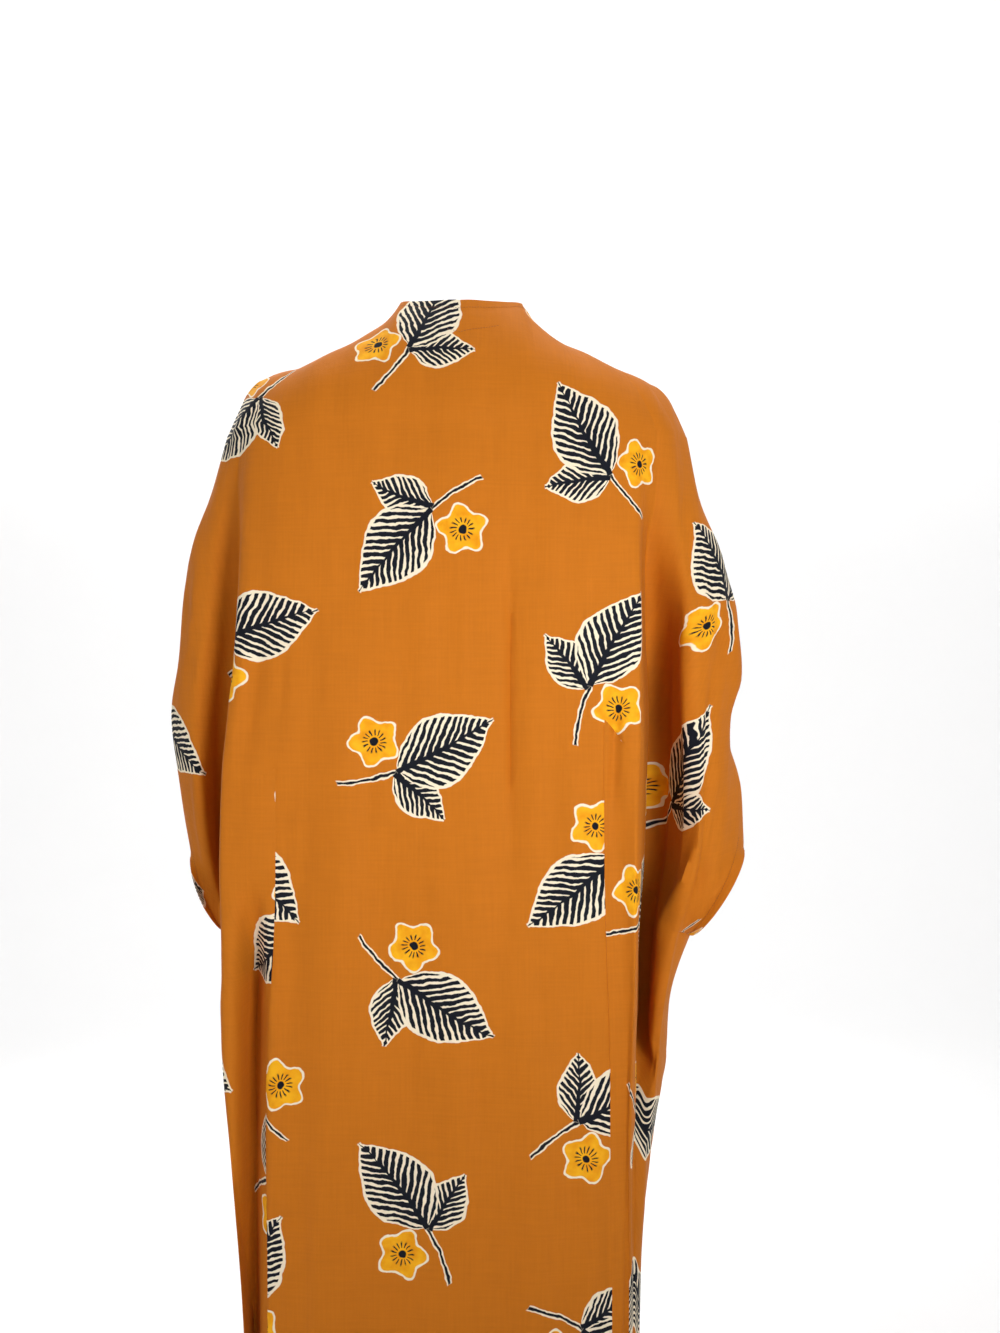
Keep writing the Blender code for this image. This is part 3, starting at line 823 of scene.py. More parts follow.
class SheetMaker:
    """Gathers cells of the cloth's grids and makes one closed thin shell of them."""

    def __init__(self, name, thickness):
        self.name = name
        self.thickness = thickness
        self.index = {}
        self.points, self.normals, self.prints = [], [], []
        self.cells = []

    def corner(self, key, point, normal, place_on_cloth):
        if key not in self.index:
            self.index[key] = len(self.points)
            self.points.append(point)
            self.normals.append(normal)
            self.prints.append(place_on_cloth)
        return self.index[key]

    def add(self, grid, wanted, key_of, print_of, flip):
        count_columns, count_rows = wanted.shape
        for c in range(count_columns):
            for r in np.flatnonzero(wanted[c]):
                corners = [
                    self.corner(key_of(i, j), grid["points"][i, j], grid["normals"][i, j], print_of(i, j))
                    for i, j in ((c, r), (c + 1, r), (c + 1, r + 1), (c, r + 1))
                ]
                self.cells.append(corners[::-1] if flip else corners)

    def make(self):
        points, normals = np.array(self.points), np.array(self.normals)
        outer = points + normals * self.thickness / 2
        inner = points - normals * self.thickness / 2
        count = len(points)
        cells = np.array(self.cells)
        faces = cells.tolist() + (cells[:, ::-1] + count).tolist()
        ends = np.concatenate([cells[:, (i, (i + 1) % 4)] for i in range(4)])
        edges = set(map(tuple, ends.tolist()))
        rim = [edge for edge in edges if edge[::-1] not in edges]
        faces += [(b, a, a + count, b + count) for a, b in rim]
        mesh = bpy.data.meshes.new(self.name)
        mesh.from_pydata(np.concatenate((outer, inner)).tolist(), [], faces)
        mesh.update()
        sides = np.zeros(len(faces), np.int32)
        sides[len(cells) : 2 * len(cells)] = 1
        mesh.polygons.foreach_set("material_index", sides)
        layer = mesh.uv_layers.new(name="cloth")
        loops = np.empty(len(mesh.loops), np.int32)
        mesh.loops.foreach_get("vertex_index", loops)
        flat = np.array(self.prints)
        layer.data.foreach_set("uv", np.concatenate((flat, flat))[loops].ravel())
        mesh.shade_smooth()
        mesh.set_sharp_from_angle(angle=EDGE_ANGLE)
        piece = bpy.data.objects.new(self.name, mesh)
        bpy.context.scene.collection.objects.link(piece)
        return piece


class NodeSums:
    """Writes sums as Math nodes, so that a pattern reads as a formula."""

    def __init__(self, tree):
        self.tree = tree

    def node(self, kind, **settings):
        made = self.tree.nodes.new(kind)
        for key, value in settings.items():
            setattr(made, key, value)
        return made

    def sum(self, operation, *values, clamp=False):
        made = self.node("ShaderNodeMath", operation=operation, use_clamp=clamp)
        for socket, value in zip(made.inputs, values):
            if isinstance(value, (int, float)):
                socket.default_value = value
            else:
                self.tree.links.new(value, socket)
        return made.outputs[0]

    def add(self, a, b):
        return self.sum("ADD", a, b)

    def sub(self, a, b):
        return self.sum("SUBTRACT", a, b)

    def mul(self, a, b):
        return self.sum("MULTIPLY", a, b)

    def div(self, a, b):
        return self.sum("DIVIDE", a, b)

    def inside(self, distance, blur):
        """1 where a distance is below 0, 0 above it, over a soft edge of this width."""
        return self.sum("MULTIPLY_ADD", distance, -1 / blur, 0.5, clamp=True)

    def both(self, *masks):
        found = masks[0]
        for mask in masks[1:]:
            found = self.mul(found, mask)
        return found

    def either(self, *masks):
        found = masks[0]
        for mask in masks[1:]:
            found = self.sum("MAXIMUM", found, mask)
        return found

    def turned(self, x, y, cosine, sine):
        """The point in axes turned by the angle with this cosine and sine."""
        return (
            self.add(self.mul(x, cosine), self.mul(y, sine)),
            self.sub(self.mul(y, cosine), self.mul(x, sine)),
        )

    def noise(self, vector, scale, detail=2.0):
        made = self.node("ShaderNodeTexNoise")
        made.inputs["Scale"].default_value = scale
        made.inputs["Detail"].default_value = detail
        self.tree.links.new(vector, made.inputs["Vector"])
        return made.outputs["Fac"]

    def blend(self, mask, below, above):
        made = self.node("ShaderNodeMix", data_type="RGBA")
        self.tree.links.new(mask, made.inputs["Factor"])
        for socket, value in ((made.inputs["A"], below), (made.inputs["B"], above)):
            if isinstance(value, bpy.types.NodeSocket):
                self.tree.links.new(value, socket)
            else:
                socket.default_value = (*value, 1.0)
        return made.outputs["Result"]


class ClothSettings(bpy.types.PropertyGroup):
    thickness: bpy.props.FloatProperty(
        name="Cloth thickness", description="Thickness of the thin cloth", default=0.0007, unit="LENGTH")
    crease_depth: bpy.props.FloatProperty(
        name="Crease depth", description="Share of the small creases that shows", default=1.0,
        subtype="FACTOR")
    ground: bpy.props.FloatVectorProperty(
        name="Ground", description="Burnt orange of the cloth", default=(0.585, 0.170, 0.0093),
        subtype="COLOR", size=3)
    roughness: bpy.props.FloatProperty(
        name="Roughness", description="Roughness of the cloth", default=0.72, subtype="FACTOR")
    sheen: bpy.props.FloatProperty(
        name="Sheen", description="Soft sheen of the fibres", default=0.02, subtype="FACTOR")
    shine: bpy.props.FloatProperty(
        name="Shine", description="Strength of the cloth's soft shine", default=0.12, subtype="FACTOR")
    thread_pitch: bpy.props.FloatProperty(
        name="Thread pitch", description="Distance between threads", default=0.0004, unit="LENGTH")


class SewingSettings(bpy.types.PropertyGroup):
    hem_thickness: bpy.props.FloatProperty(
        name="Hem thickness", description="Thickness of the cloth turned in at the edges", default=0.0006,
        unit="LENGTH")
    stitch_pitch: bpy.props.FloatProperty(
        name="Stitch pitch", description="Distance between stitches", default=0.0030, unit="LENGTH")
    stitch_length: bpy.props.FloatProperty(
        name="Stitch length", description="Length of thread that shows in a stitch", default=0.0022,
        unit="LENGTH")
    thread_width: bpy.props.FloatProperty(
        name="Thread width", description="Width of the sewing thread", default=0.00045, unit="LENGTH")
    thread_colour: bpy.props.FloatVectorProperty(
        name="Thread colour", description="Colour of the sewing thread", default=(0.27, 0.072, 0.008),
        subtype="COLOR", size=3)


class PrintSettings(bpy.types.PropertyGroup):
    cell_width: bpy.props.FloatProperty(
        name="Sprig spacing across", description="Distance between columns of sprigs", default=0.188,
        unit="LENGTH")
    cell_height: bpy.props.FloatProperty(
        name="Sprig spacing down", description="Distance between sprigs in a column", default=0.226,
        unit="LENGTH")
    column_drop: bpy.props.FloatProperty(
        name="Column drop", description="Share of the spacing by which each column of sprigs is lower",
        default=0.42, subtype="FACTOR")
    leaf_length: bpy.props.FloatProperty(
        name="Leaf length", description="Length of the large leaf", default=0.108, unit="LENGTH")
    leaf_width: bpy.props.FloatProperty(
        name="Leaf half width", description="Half the width of the large leaf", default=0.035,
        unit="LENGTH")
    vein_pitch: bpy.props.FloatProperty(
        name="Vein spacing", description="Distance between the brushed veins", default=0.0095,
        unit="LENGTH")
    blossom_radius: bpy.props.FloatProperty(
        name="Blossom radius", description="Radius of a blossom", default=0.0255, unit="LENGTH")
    stem_length: bpy.props.FloatProperty(
        name="Stem length", description="Length of the stem", default=0.062, unit="LENGTH")
    dark: bpy.props.FloatVectorProperty(
        name="Dark", description="Near-black blue of the brushed lines", default=(0.0065, 0.008, 0.014),
        subtype="COLOR", size=3)
    cream: bpy.props.FloatVectorProperty(
        name="Cream", description="Cream of the leaf ground and outlines", default=(0.92, 0.80, 0.60),
        subtype="COLOR", size=3)
    gold: bpy.props.FloatVectorProperty(
        name="Gold", description="Golden yellow of the blossoms", default=(0.96, 0.46, 0.012),
        subtype="COLOR", size=3)
    amber: bpy.props.FloatVectorProperty(
        name="Amber", description="Deeper yellow in the blossoms", default=(0.80, 0.27, 0.004),
        subtype="COLOR", size=3)


class StageSettings(bpy.types.PropertyGroup):
    camera_out: bpy.props.FloatProperty(
        name="Camera to the side", description="Camera's distance from the middle, to the wearer's right",
        default=0.042, unit="LENGTH")
    camera_back: bpy.props.FloatProperty(
        name="Camera distance", description="Camera's distance behind the shoulder line", default=1.55,
        unit="LENGTH")
    camera_drop: bpy.props.FloatProperty(
        name="Camera drop", description="Camera's height below the neck", default=0.401, unit="LENGTH")
    lens: bpy.props.FloatProperty(
        name="Lens", description="Focal length in millimetres", default=38.03)
    room_radius: bpy.props.FloatProperty(
        name="Room radius", description="Distance of the round wall", default=4.4, unit="LENGTH")
    room_bend: bpy.props.FloatProperty(
        name="Room bend", description="Radius of the curve from the floor to the wall", default=1.5,
        unit="LENGTH")
    room_height: bpy.props.FloatProperty(
        name="Room height", description="Height of the wall", default=6.0, unit="LENGTH")
    floor_drop: bpy.props.FloatProperty(
        name="Floor drop", description="Floor's height below the neck", default=1.46, unit="LENGTH")
    pale: bpy.props.FloatVectorProperty(
        name="Floor colour", description="Pale floor and wall", default=(0.80, 0.80, 0.80),
        subtype="COLOR", size=3)


def leaf_masks(sums, x, y, pattern, leaf, brush):
    """Cream ground and dark brushed lines of one leaf that grows up from the origin. Brush varies the
    width of the lines."""
    length, width = pattern.leaf_length * leaf["size"], pattern.leaf_width * leaf["size"]
    pitch = pattern.vein_pitch * leaf["spacing"]
    share = sums.div(y, length)
    across = sums.sum("ABSOLUTE", sums.sub(x, sums.mul(sums.mul(share, share), leaf["bend"])))
    along = sums.sum("POWER", sums.sum("ADD", share, 0.0, clamp=True), LEAF_FULLNESS)
    half = sums.mul(sums.sum("SINE", sums.mul(along, math.pi)), width)
    below_tip = sums.inside(sums.sub(share, 1 + LEAF_OVERRUN), LEAF_OVERRUN / 2)
    above_foot = sums.inside(sums.sub(-LEAF_OVERRUN, share), LEAF_OVERRUN / 2)
    on_length = sums.both(below_tip, above_foot)
    uneven = sums.mul(brush, pitch * BRUSH_SHARE)
    ground = sums.both(sums.inside(sums.sub(across, sums.add(half, LEAF_MARGIN)), LINE_BLUR), on_length)
    turn = sums.div(sums.sub(y, sums.mul(across, VEIN_SLANT)), pitch)
    off = sums.mul(sums.sum("ABSOLUTE", sums.sub(sums.sum("FRACT", turn), 0.5)), pitch)
    thin = sums.mul(sums.div(across, sums.add(half, 0.001)), pitch * VEIN_TAPER)
    off = sums.add(sums.add(off, thin), uneven)
    rough = sums.add(across, uneven)
    rib_width = sums.mul(sums.sub(RIB_END, share), RIB_HALF_WIDTH)
    vein = sums.inside(sums.sub(off, pitch * VEIN_HALF_WIDTH), LINE_BLUR)
    edge = sums.inside(sums.sub(rough, sums.mul(half, LEAF_EDGE)), LINE_BLUR)
    rib = sums.inside(sums.sub(rough, rib_width), LINE_BLUR)
    return ground, sums.both(sums.either(sums.both(vein, edge), rib), on_length)


def stem_masks(sums, x, y, pattern, brush):
    """Cream ground and dark line of the stem below the leaves."""
    fall = sums.div(y, -pattern.stem_length)
    off = sums.sum("ABSOLUTE", sums.sub(x, sums.mul(sums.mul(fall, fall), STEM_BEND)))
    on_stem = sums.both(sums.inside(sums.sub(fall, 1.0), STEM_END_BLUR),
                        sums.inside(sums.sub(STEM_START, fall), STEM_END_BLUR))
    width = sums.add(sums.mul(brush, STEM_BRUSH), STEM_HALF_WIDTH)
    ground = sums.inside(sums.sub(off, STEM_MARGIN), LINE_BLUR)
    line = sums.inside(sums.sub(off, width), LINE_BLUR)
    return sums.both(ground, on_stem), sums.both(line, on_stem)


def blossom_masks(sums, x, y, pattern):
    """Cream ground, petals, and the dark eye with its rays."""
    x, y = sums.sub(x, BLOSSOM_PLACE[0]), sums.sub(y, BLOSSOM_PLACE[1])
    radius = pattern.blossom_radius
    reach = sums.sum("SQRT", sums.add(sums.mul(x, x), sums.mul(y, y)))
    turn = sums.mul(sums.sum("ARCTAN2", y, x), PETALS)
    wave = sums.sum("MULTIPLY_ADD", sums.sum("COSINE", turn), PETAL_WAVE, PETAL_REACH)
    petal = sums.mul(wave, radius)
    ground = sums.inside(sums.sub(reach, sums.add(petal, BLOSSOM_MARGIN)), LINE_BLUR)
    eye = sums.inside(sums.sub(reach, radius * EYE_SHARE), LINE_BLUR)
    ray = sums.sum("COSINE", sums.mul(turn, RAYS_PER_PETAL))
    rays = sums.both(sums.inside(sums.sub(RAY_WIDTH, ray), 0.5),
                     sums.inside(sums.sub(reach, radius * RAY_END), RAY_END_BLUR),
                     sums.inside(sums.sub(radius * RAY_START, reach), LINE_BLUR))
    return ground, sums.inside(sums.sub(reach, petal), LINE_BLUR), sums.either(eye, rays)


def sprig_axes(sums, flat, split, pattern, shift):
    """The point in the axes of the sprig that it belongs to. The sprigs stand in columns, each a little
    lower than the last, and every other column is mirrored."""
    wavers = [sums.mul(sums.sub(sums.noise(flat, scale), 0.5), WAVER) for scale in WAVER_SCALES]
    across = sums.add(sums.add(split.outputs["X"], shift[0]), wavers[0])
    down = sums.add(sums.add(split.outputs["Y"], shift[1]), wavers[1])
    column = sums.sum("FLOOR", sums.div(across, pattern.cell_width))
    odd = sums.sum("FLOORED_MODULO", column, 2.0)
    drop_share = sums.sum("FRACT", sums.mul(column, pattern.column_drop))
    down = sums.add(down, sums.mul(drop_share, pattern.cell_height))
    row = sums.sum("FLOOR", sums.div(down, pattern.cell_height))
    x = sums.sub(across, sums.mul(sums.add(column, 0.5), pattern.cell_width))
    y = sums.sub(down, sums.mul(sums.add(row, 0.5), pattern.cell_height))
    steps = sums.add(sums.mul(column, KIND_STEPS[0]), sums.mul(row, KIND_STEPS[1]))
    kind = sums.sum("FLOORED_MODULO", steps, KINDS)
    y = sums.add(y, sums.mul(sums.sum("SINE", sums.mul(kind, SWAY_TURN)), SWAY))
    angle = sums.add(sums.mul(kind, KIND_TURN), FIRST_TURN)
    x, y = sums.turned(x, y, sums.sum("COSINE", angle), sums.sum("SINE", angle))
    return sums.mul(x, sums.sub(1.0, sums.mul(odd, 2.0))), sums.add(y, SPRIG_FOOT)


def printed(sums, flat, split, pattern, shift, colour):
    """Lays tossed sprigs of leaves and blossom over the colour of the cloth."""
    x, y = sprig_axes(sums, flat, split, pattern, shift)
    brush = sums.sub(sums.noise(flat, BRUSH_SCALE), 0.5)
    foot, turn = SMALL_LEAF["foot"], SMALL_LEAF["turn"]
    side_x, side_y = sums.turned(sums.add(x, foot[0]), sums.add(y, foot[1]), math.cos(turn), math.sin(turn))
    ground, dark = leaf_masks(sums, x, y, pattern, LARGE_LEAF, brush)
    small_ground, small_dark = leaf_masks(sums, side_x, side_y, pattern, SMALL_LEAF, brush)
    stem_ground, stem = stem_masks(sums, x, y, pattern, brush)
    blossom_ground, petals, eye = blossom_masks(sums, x, y, pattern)
    paint = sums.sum("MULTIPLY_ADD", sums.noise(flat, PAINT_SCALE), PAINT_CONTRAST, PAINT_START, clamp=True)
    layers = (
        (sums.either(stem_ground, blossom_ground), pattern.cream),
        (stem, pattern.dark),
        (petals, sums.blend(paint, pattern.gold, pattern.amber)),
        (eye, pattern.dark),
        (small_ground, pattern.cream),
        (small_dark, pattern.dark),
        (ground, pattern.cream),
        (dark, pattern.dark),
    )
    for mask, above in layers:
        colour = sums.blend(mask, colour, above)
    return colour


def cloth_material(name, cloth, pattern, shift, faintness):
    """Printed cloth with its slubs and its fine weave. Faintness is how much of the print is lost."""
    material = bpy.data.materials.new(name)
    material.use_nodes = True
    tree = material.node_tree
    shader = tree.nodes["Principled BSDF"]
    sums = NodeSums(tree)
    flat = sums.node("ShaderNodeUVMap", uv_map="cloth").outputs["UV"]
    split = sums.node("ShaderNodeSeparateXYZ")
    tree.links.new(flat, split.inputs[0])
    slubs = [sums.noise(stretched(sums, flat, scale), 1.0, 3.0) for scale in SLUB_SCALES]
    shade = sums.add(*[sums.mul(sums.sub(slub, 0.5), SLUB_SHADE) for slub in slubs])
    tone = sums.mul(sums.noise(flat, TONE_SCALE, 3.0), TONE_SHADE)
    deep = [value * DEEP_SHARE for value in cloth.ground]
    colour = sums.blend(sums.sum("ADD", tone, shade, clamp=True), cloth.ground, deep)
    colour = printed(sums, flat, split, pattern, shift, colour)
    if faintness:
        colour = sums.blend(sums.sum("ADD", faintness, sums.mul(shade, 0.5)), colour, cloth.ground)
    tree.links.new(colour, shader.inputs["Base Color"])
    add_weave(sums, shader, flat, split, cloth, slubs)
    shader.inputs["Roughness"].default_value = cloth.roughness
    shader.inputs["Sheen Weight"].default_value = cloth.sheen
    shader.inputs["Sheen Roughness"].default_value = SHEEN_ROUGHNESS
    shader.inputs["Specular IOR Level"].default_value = cloth.shine
    return material


def stretched(sums, vector, scale):
    """A place on the cloth, scaled differently across and down."""
    made = sums.node("ShaderNodeMapping")
    made.inputs["Scale"].default_value = (scale[0], scale[1], 1.0)
    sums.tree.links.new(vector, made.inputs["Vector"])
    return made.outputs[0]


def add_weave(sums, shader, flat, split, cloth, slubs):
    """Threads, slubs and the soft crumple of thin cloth, as height."""
    thread = 2 * math.pi / cloth.thread_pitch
    warp = sums.sum("SINE", sums.mul(split.outputs["X"], thread))
    weft = sums.sum("SINE", sums.mul(split.outputs["Y"], thread))
    weave = sums.mul(sums.mul(warp, weft), WEAVE_HEIGHT)
    slubs = sums.mul(sums.add(*slubs), SLUB_HEIGHT)
    crumple = sums.noise(stretched(sums, flat, CRUMPLE_STRETCH), CRUMPLE_SCALE, 4.0)
    crumple = sums.mul(crumple, CRUMPLE_HEIGHT)
    bump = sums.node("ShaderNodeBump")
    bump.inputs["Strength"].default_value = BUMP_STRENGTH
    bump.inputs["Distance"].default_value = 1.0
    sums.tree.links.new(sums.add(sums.add(weave, slubs), crumple), bump.inputs["Height"])
    sums.tree.links.new(bump.outputs["Normal"], shader.inputs["Normal"])


def settings_of(name):
    """The group of settings of this name, as the sidebar shows it."""
    return getattr(bpy.context.scene, "coat_" + name)


CLOTH = {}


def the_cloth():
    """The coat's grids, worked out once for all the pieces."""
    if "made" not in CLOTH:
        CLOTH["made"] = Cloth(settings_of("cloth"))
    return CLOTH["made"]


def printed_at(across, grid):
    """Gives the place on the flat cloth of each point of a grid."""
    return lambda i, j: (across[i, j], -grid["fall"][i, j])


def add_both_sides(piece, name, shift):
    """The printed right side of the cloth, and its paler wrong side."""
    for ending, faintness in (("", 0.0), ("_wrong_side", WRONG_SIDE_FADE)):
        piece.data.materials.append(
            cloth_material(name + ending, settings_of("cloth"), settings_of("print"), shift, faintness))


def dress(piece, node, extras):
    """Parents a cut piece of cloth, with its hems and stitches, to the root, and hides the solid that it
    stands for.
    """
    for thing in (piece, *extras):
        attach(thing, "root")
    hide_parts(node)


def hem_maker(name):
    """A maker for the turned edges of one piece, and how far in from the cloth they lie."""
    cloth, sewing = settings_of("cloth"), settings_of("sewing")
    shift = (cloth.thickness + sewing.hem_thickness) / 2 * HEM_CLEARANCE
    return SheetMaker(name, sewing.hem_thickness), shift


def made_of_cloth(maker, piece):
    """Makes turned edges, which show the right side of the piece's cloth on the inside."""
    hems = maker.make()
    for side in (1, 0):
        hems.data.materials.append(piece.data.materials[side])
    return hems


def stitch_shifts():
    """How far from the middle of the cloth the stitches lie, outside it and inside its hems."""
    cloth, sewing = settings_of("cloth"), settings_of("sewing")
    outside = cloth.thickness / 2 + sewing.thread_width * THREAD_LIFT
    return outside, -(outside + sewing.hem_thickness)


def sew(threads, lines):
    """Sews rows of stitches along lines of the cloth, seen on both of its sides."""
    for shift in stitch_shifts():
        for line in lines:
            threads.row(line, shift)


def back_hems(cloth, piece):
    """The turned neckline, foot and cuffs of the back."""
    grid, rows = cloth.grids["back"], cloth.rows
    maker, shift = hem_maker("back_hems")
    last = len(TURNS)
    wanted = cells_between(grid, rows, -1, NECKLINE_PLACE, 0, rows[NECK_HEM])
    wanted |= cells_between(grid, rows, -1, 1, rows[-1 - FOOT_HEM], ROWS)
    cuffs = cells_between(grid, rows, -1, last, CUFF_TOP_ROW, UNDERARM_ROW)
    cuffs[CUFF_HEM:-CUFF_HEM] = False
    maker.add(lined(grid, shift), wanted | cuffs, lambda i, j: (i, j), printed_at(grid["arc"], grid), True)
    return made_of_cloth(maker, piece)


def back_stitches(cloth):
    """Stitch rows along the hems of the back, and a short one across the nape."""
    grid, rows = cloth.grids["back"], cloth.rows
    threads = ThreadMaker("back_stitches", settings_of("sewing"))
    place = np.abs(grid["place"][:, 0])
    cuff = (rows >= CUFF_TOP_ROW) & (rows <= UNDERARM_ROW)
    nape_row = int(np.argmin(np.abs(grid["points"][len(place) // 2, :, 2] + NAPE_STITCH["drop"])))
    x = grid["points"][:, nape_row, 0]
    lines = [
        grid_line(grid, row=NECK_HEM - STITCH_INSET, keep=place <= NECKLINE_PLACE),
        grid_line(grid, row=STITCH_INSET - FOOT_HEM, keep=place <= 1),
        grid_line(grid, column=CUFF_HEM - STITCH_INSET, keep=cuff),
        grid_line(grid, column=STITCH_INSET - CUFF_HEM, keep=cuff),
    ]
    sew(threads, lines)
    nape = (x >= NAPE_STITCH["from"]) & (x <= NAPE_STITCH["to"])
    threads.row(grid_line(grid, row=nape_row, keep=nape), stitch_shifts()[0])
    return threads.make()


def front_hems(cloth, side, piece):
    """The turned front edge, foot and cuff of one front."""
    grid, behind, rows = cloth.grids["front_" + side], cloth.grids["back"], cloth.rows
    sign = SIDES[side]
    across_behind, across = print_widths(cloth, side)
    maker, shift = hem_maker("front_hems_" + side)
    last = len(TURNS)
    wanted = cells_between(grid, rows, -1, last, rows[-1 - FOOT_HEM], ROWS)
    wanted[-EDGE_HEM:] = True
    cuff = cells_between(grid, rows, -1, last, CUFF_TOP_ROW, UNDERARM_ROW)
    cuff[CUFF_HEM:] = False
    maker.add(lined(grid, shift), wanted | cuff, lambda i, j: ("front", i, j), printed_at(across, grid),
              sign < 0)
    foot = cells_between(behind, rows, 1, last, rows[-1 - FOOT_HEM], ROWS)
    foot &= behind["place"][:-1, :-1] * sign > 0
    maker.add(lined(behind, shift), foot, lambda i, j: ("behind", i, j),
              printed_at(across_behind, behind), True)
    return made_of_cloth(maker, piece)


def front_stitches(cloth, side):
    """Stitch rows along the hems of one front."""
    grid, behind, rows = cloth.grids["front_" + side], cloth.grids["back"], cloth.rows
    threads = ThreadMaker("front_stitches_" + side, settings_of("sewing"))
    cuff = (rows >= CUFF_TOP_ROW) & (rows <= UNDERARM_ROW)
    lines = (
        grid_line(grid, column=STITCH_INSET - EDGE_HEM),
        grid_line(grid, row=STITCH_INSET - FOOT_HEM),
        grid_line(grid, column=CUFF_HEM - STITCH_INSET, keep=cuff),
        grid_line(behind, row=STITCH_INSET - FOOT_HEM, keep=behind["place"][:, -1] * SIDES[side] >= 1),
    )
    sew(threads, lines)
    return threads.make()


class COAT_OT_back(bpy.types.Operator):
    """Makes the back of the coat with the back halves of its sleeves"""

    bl_idname = "coat.back"
    bl_label = "Back"

    def execute(self, context):
        cloth = the_cloth()
        grid = cloth.grids["back"]
        maker = SheetMaker("coat_back", settings_of("cloth").thickness)
        row = cloth.rows[:-1]
        place = (np.abs(grid["place"][:-1, :-1]) + np.abs(grid["place"][1:, :-1])) / 2
        wanted = (row < UNDERARM_ROW)[None, :] | (place < 1)
        maker.add(grid, wanted, lambda i, j: (i, j), printed_at(grid["arc"], grid), True)
        piece = maker.make()
        add_both_sides(piece, "back_cloth", BACK_SHIFT)
        dress(piece, "back", (back_hems(cloth, piece), back_stitches(cloth)))
        return {"FINISHED"}


def print_widths(cloth, side):
    """Where the print of a front lies across it, behind the side line and before it. It hangs straight
    from the side seam, and what the deep fold takes is spread over the cloth further round."""
    sign = SIDES[side]
    behind, front = cloth.grids["back"], cloth.grids["front_" + side]
    arc, place = behind["arc"], behind["place"] * sign
    column = 0 if sign > 0 else -1
    seam = int(np.argmin(np.abs(place[:, 0] - TURNS.index("seam"))))
    width = arc[seam] - arc[column]
    gap = width[cloth.rows > STRAIGHT_ROW].mean() - width
    share = ease((cloth.rows - PRINT_TOP_ROW) / (UNDERARM_ROW - PRINT_TOP_ROW))
    gap = np.where(cloth.rows < UNDERARM_ROW, gap[cloth.rows == UNDERARM_ROW] * share, gap)

    def spread(near):
        return gap * (1 - ease((near - TAKEN_UP[0]) / (TAKEN_UP[1] - TAKEN_UP[0])))

    return arc - arc[column] + spread(place), sign * front["arc"] + spread(np.abs(front["place"]))


class COAT_OT_fronts(bpy.types.Operator):
    """Makes both fronts of the coat with the front halves of its sleeves"""

    bl_idname = "coat.fronts"
    bl_label = "Fronts"

    def execute(self, context):
        cloth = the_cloth()
        behind = cloth.grids["back"]
        row = cloth.rows[:-1]
        low = row >= UNDERARM_ROW
        place = (behind["place"][:-1, :-1] + behind["place"][1:, :-1]) / 2
        for side, sign in SIDES.items():
            grid = cloth.grids["front_" + side]
            maker = SheetMaker("coat_front_" + side, settings_of("cloth").thickness)
            column = 0 if sign > 0 else behind["place"].shape[0] - 1
            across_behind, across = print_widths(cloth, side)

            def key_of(i, j, column=column):
                if i == 0 and cloth.rows[j] >= UNDERARM_ROW:
                    return "behind", column, j
                return "front", i, j

            shape = [count - 1 for count in grid["arc"].shape]
            maker.add(grid, np.ones(shape, bool), key_of, printed_at(across, grid), sign < 0)
            maker.add(behind, low[None, :] & (place * sign > 1), lambda i, j: ("behind", i, j),
                      printed_at(across_behind, behind), True)
            piece = maker.make()
            add_both_sides(piece, "front_cloth_" + side, FRONT_SHIFTS[side])
            extras = front_hems(cloth, side, piece), front_stitches(cloth, side)
            dress(piece, "front_" + side, extras)
        return {"FINISHED"}


class COAT_OT_stage(bpy.types.Operator):
    """Makes the pale floor, the soft lights and the camera"""

    bl_idname = "coat.stage"
    bl_label = "Stage"

    def execute(self, context):
        stage = settings_of("stage")
        make_floor(stage)
        make_lights()
        make_camera(stage)
        return {"FINISHED"}


def make_floor(stage):
    """A round floor that curves up into a wall on all sides."""
    turns, bends = FLOOR_TURNS, FLOOR_BENDS
    flat, bend = stage.room_radius - stage.room_bend, stage.room_bend
    profile = [(flat * share, 0.0) for share in (0.0, 0.5, 1.0)]
    for n in range(1, bends + 1):
        turn = math.pi / 2 * n / bends
        profile.append((flat + bend * math.sin(turn), bend * (1 - math.cos(turn))))
    profile.append((stage.room_radius, stage.room_height))
    points, faces = [], []
    for ring, (radius, height) in enumerate(profile):
        for n in range(turns):
            turn = 2 * math.pi * n / turns
            points.append((radius * math.cos(turn), radius * math.sin(turn), height - stage.floor_drop))
            after = ring * turns + (n + 1) % turns
            if ring:
                faces.append((ring * turns + n - turns, ring * turns + n, after, after - turns))
    mesh = bpy.data.meshes.new("floor")
    mesh.from_pydata(points, [], faces)
    mesh.shade_smooth()
    floor = bpy.data.objects.new("floor", mesh)
    bpy.context.scene.collection.objects.link(floor)
    material = bpy.data.materials.new("pale_floor")
    material.use_nodes = True
    shader = material.node_tree.nodes["Principled BSDF"]
    shader.inputs["Base Color"].default_value = (*stage.pale, 1.0)
    shader.inputs["Roughness"].default_value = 0.9
    mesh.materials.append(material)


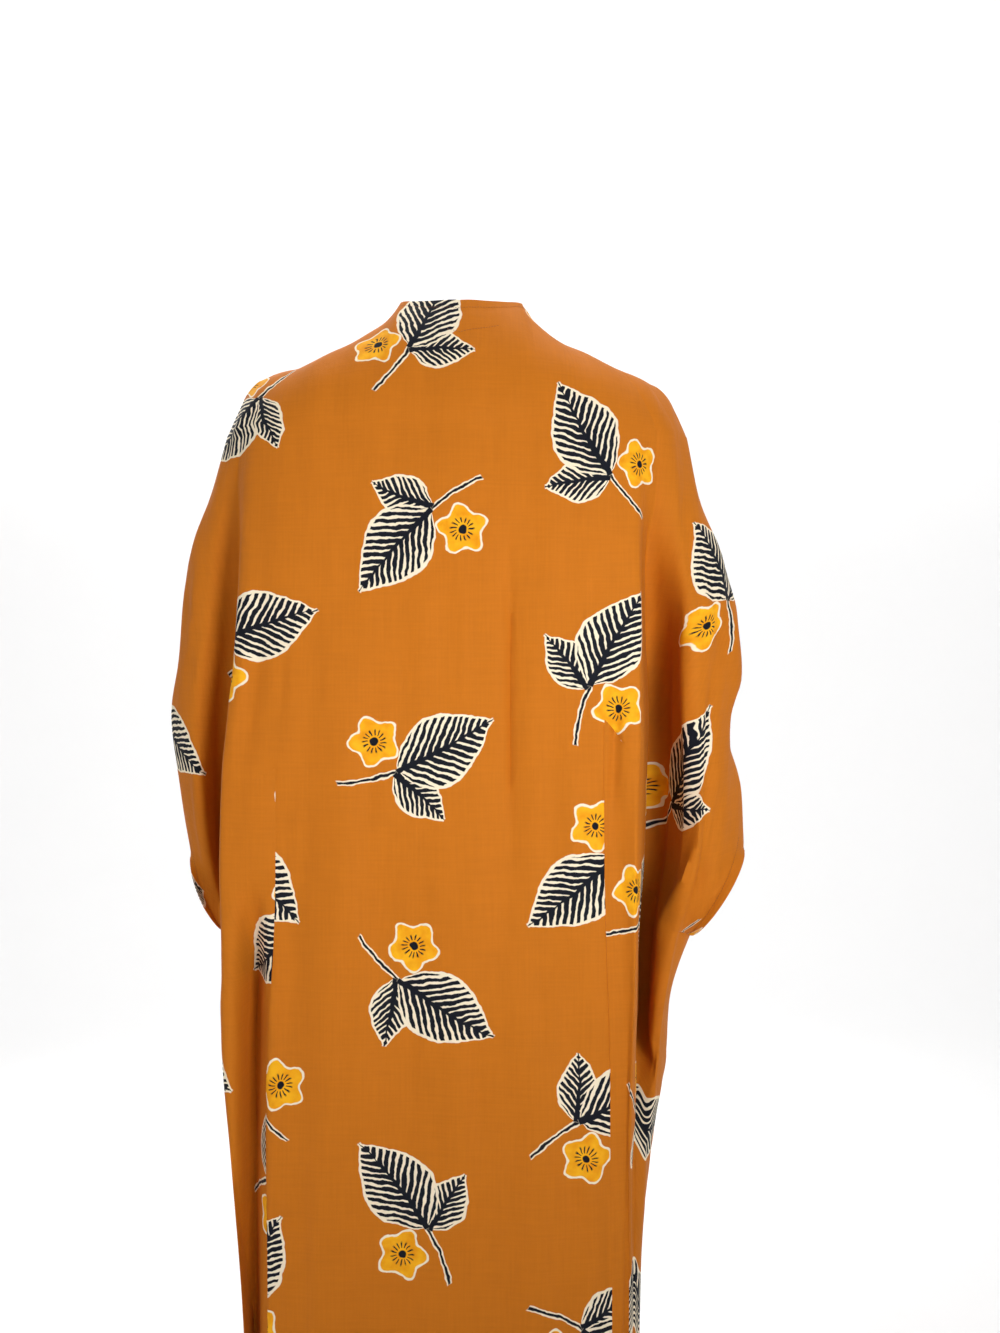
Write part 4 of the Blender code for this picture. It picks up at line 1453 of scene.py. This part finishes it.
def make_lights():
    """The faint light of the room, and the lamps."""
    world = bpy.data.worlds.new("soft_room")
    world.use_nodes = True
    world.node_tree.nodes["Background"].inputs["Color"].default_value = (1.0, 1.0, 1.0, 1.0)
    world.node_tree.nodes["Background"].inputs["Strength"].default_value = WORLD_LIGHT
    bpy.context.scene.world = world
    for name, place, aim, size, spread, power in LAMPS:
        light = bpy.data.lights.new(name, "AREA")
        light.shape = "DISK"
        light.size = size
        light.spread = math.radians(spread)
        light.energy = power
        lamp = bpy.data.objects.new(name, light)
        lamp.location = place
        direction = np.array(aim) - np.array(place)
        lamp.rotation_euler = aimed(direction)
        bpy.context.scene.collection.objects.link(lamp)


def aimed(direction):
    """Rotation that turns an object's -Z towards a direction, with its +Y up."""
    x, y, z = direction / np.linalg.norm(direction)
    return (math.acos(-z), 0.0, math.atan2(x, -y) + math.pi)


def make_camera(stage):
    lens = bpy.data.cameras.new("camera")
    lens.lens = stage.lens
    lens.sensor_width = 36.0
    camera = bpy.data.objects.new("camera", lens)
    camera.location = (-stage.camera_out, stage.camera_back, -stage.camera_drop)
    camera.rotation_euler = (math.pi / 2, 0.0, math.pi)
    bpy.context.scene.collection.objects.link(camera)
    bpy.context.scene.camera = camera
    bpy.context.scene.view_settings.view_transform = "Standard"


class COAT_PT_sidebar(bpy.types.Panel):
    bl_label = "Coat"
    bl_idname = "COAT_PT_sidebar"
    bl_space_type = "VIEW_3D"
    bl_region_type = "UI"
    bl_category = "Coat"

    def draw(self, context):
        for name in GROUPS:
            settings = settings_of(name)
            box = self.layout.box()
            box.label(text=name.capitalize())
            for key in settings.__annotations__:
                box.prop(settings, key)
        for operator in OPERATORS:
            self.layout.operator(operator.bl_idname)


GROUPS = {"cloth": ClothSettings, "print": PrintSettings, "sewing": SewingSettings,
          "stage": StageSettings}
OPERATORS = (COAT_OT_back, COAT_OT_fronts, COAT_OT_stage)


def register():
    for kind in (*GROUPS.values(), *OPERATORS, COAT_PT_sidebar):
        bpy.utils.register_class(kind)
    for name, kind in GROUPS.items():
        setattr(bpy.types.Scene, "coat_" + name, bpy.props.PointerProperty(type=kind))


def unregister():
    for name in GROUPS:
        delattr(bpy.types.Scene, "coat_" + name)
    for kind in (COAT_PT_sidebar, *reversed(OPERATORS), *reversed(GROUPS.values())):
        bpy.utils.unregister_class(kind)


def main():
    register()
    bpy.ops.coat.back()
    bpy.ops.coat.fronts()
    bpy.ops.coat.stage()


if __name__ == "__main__":
    main()
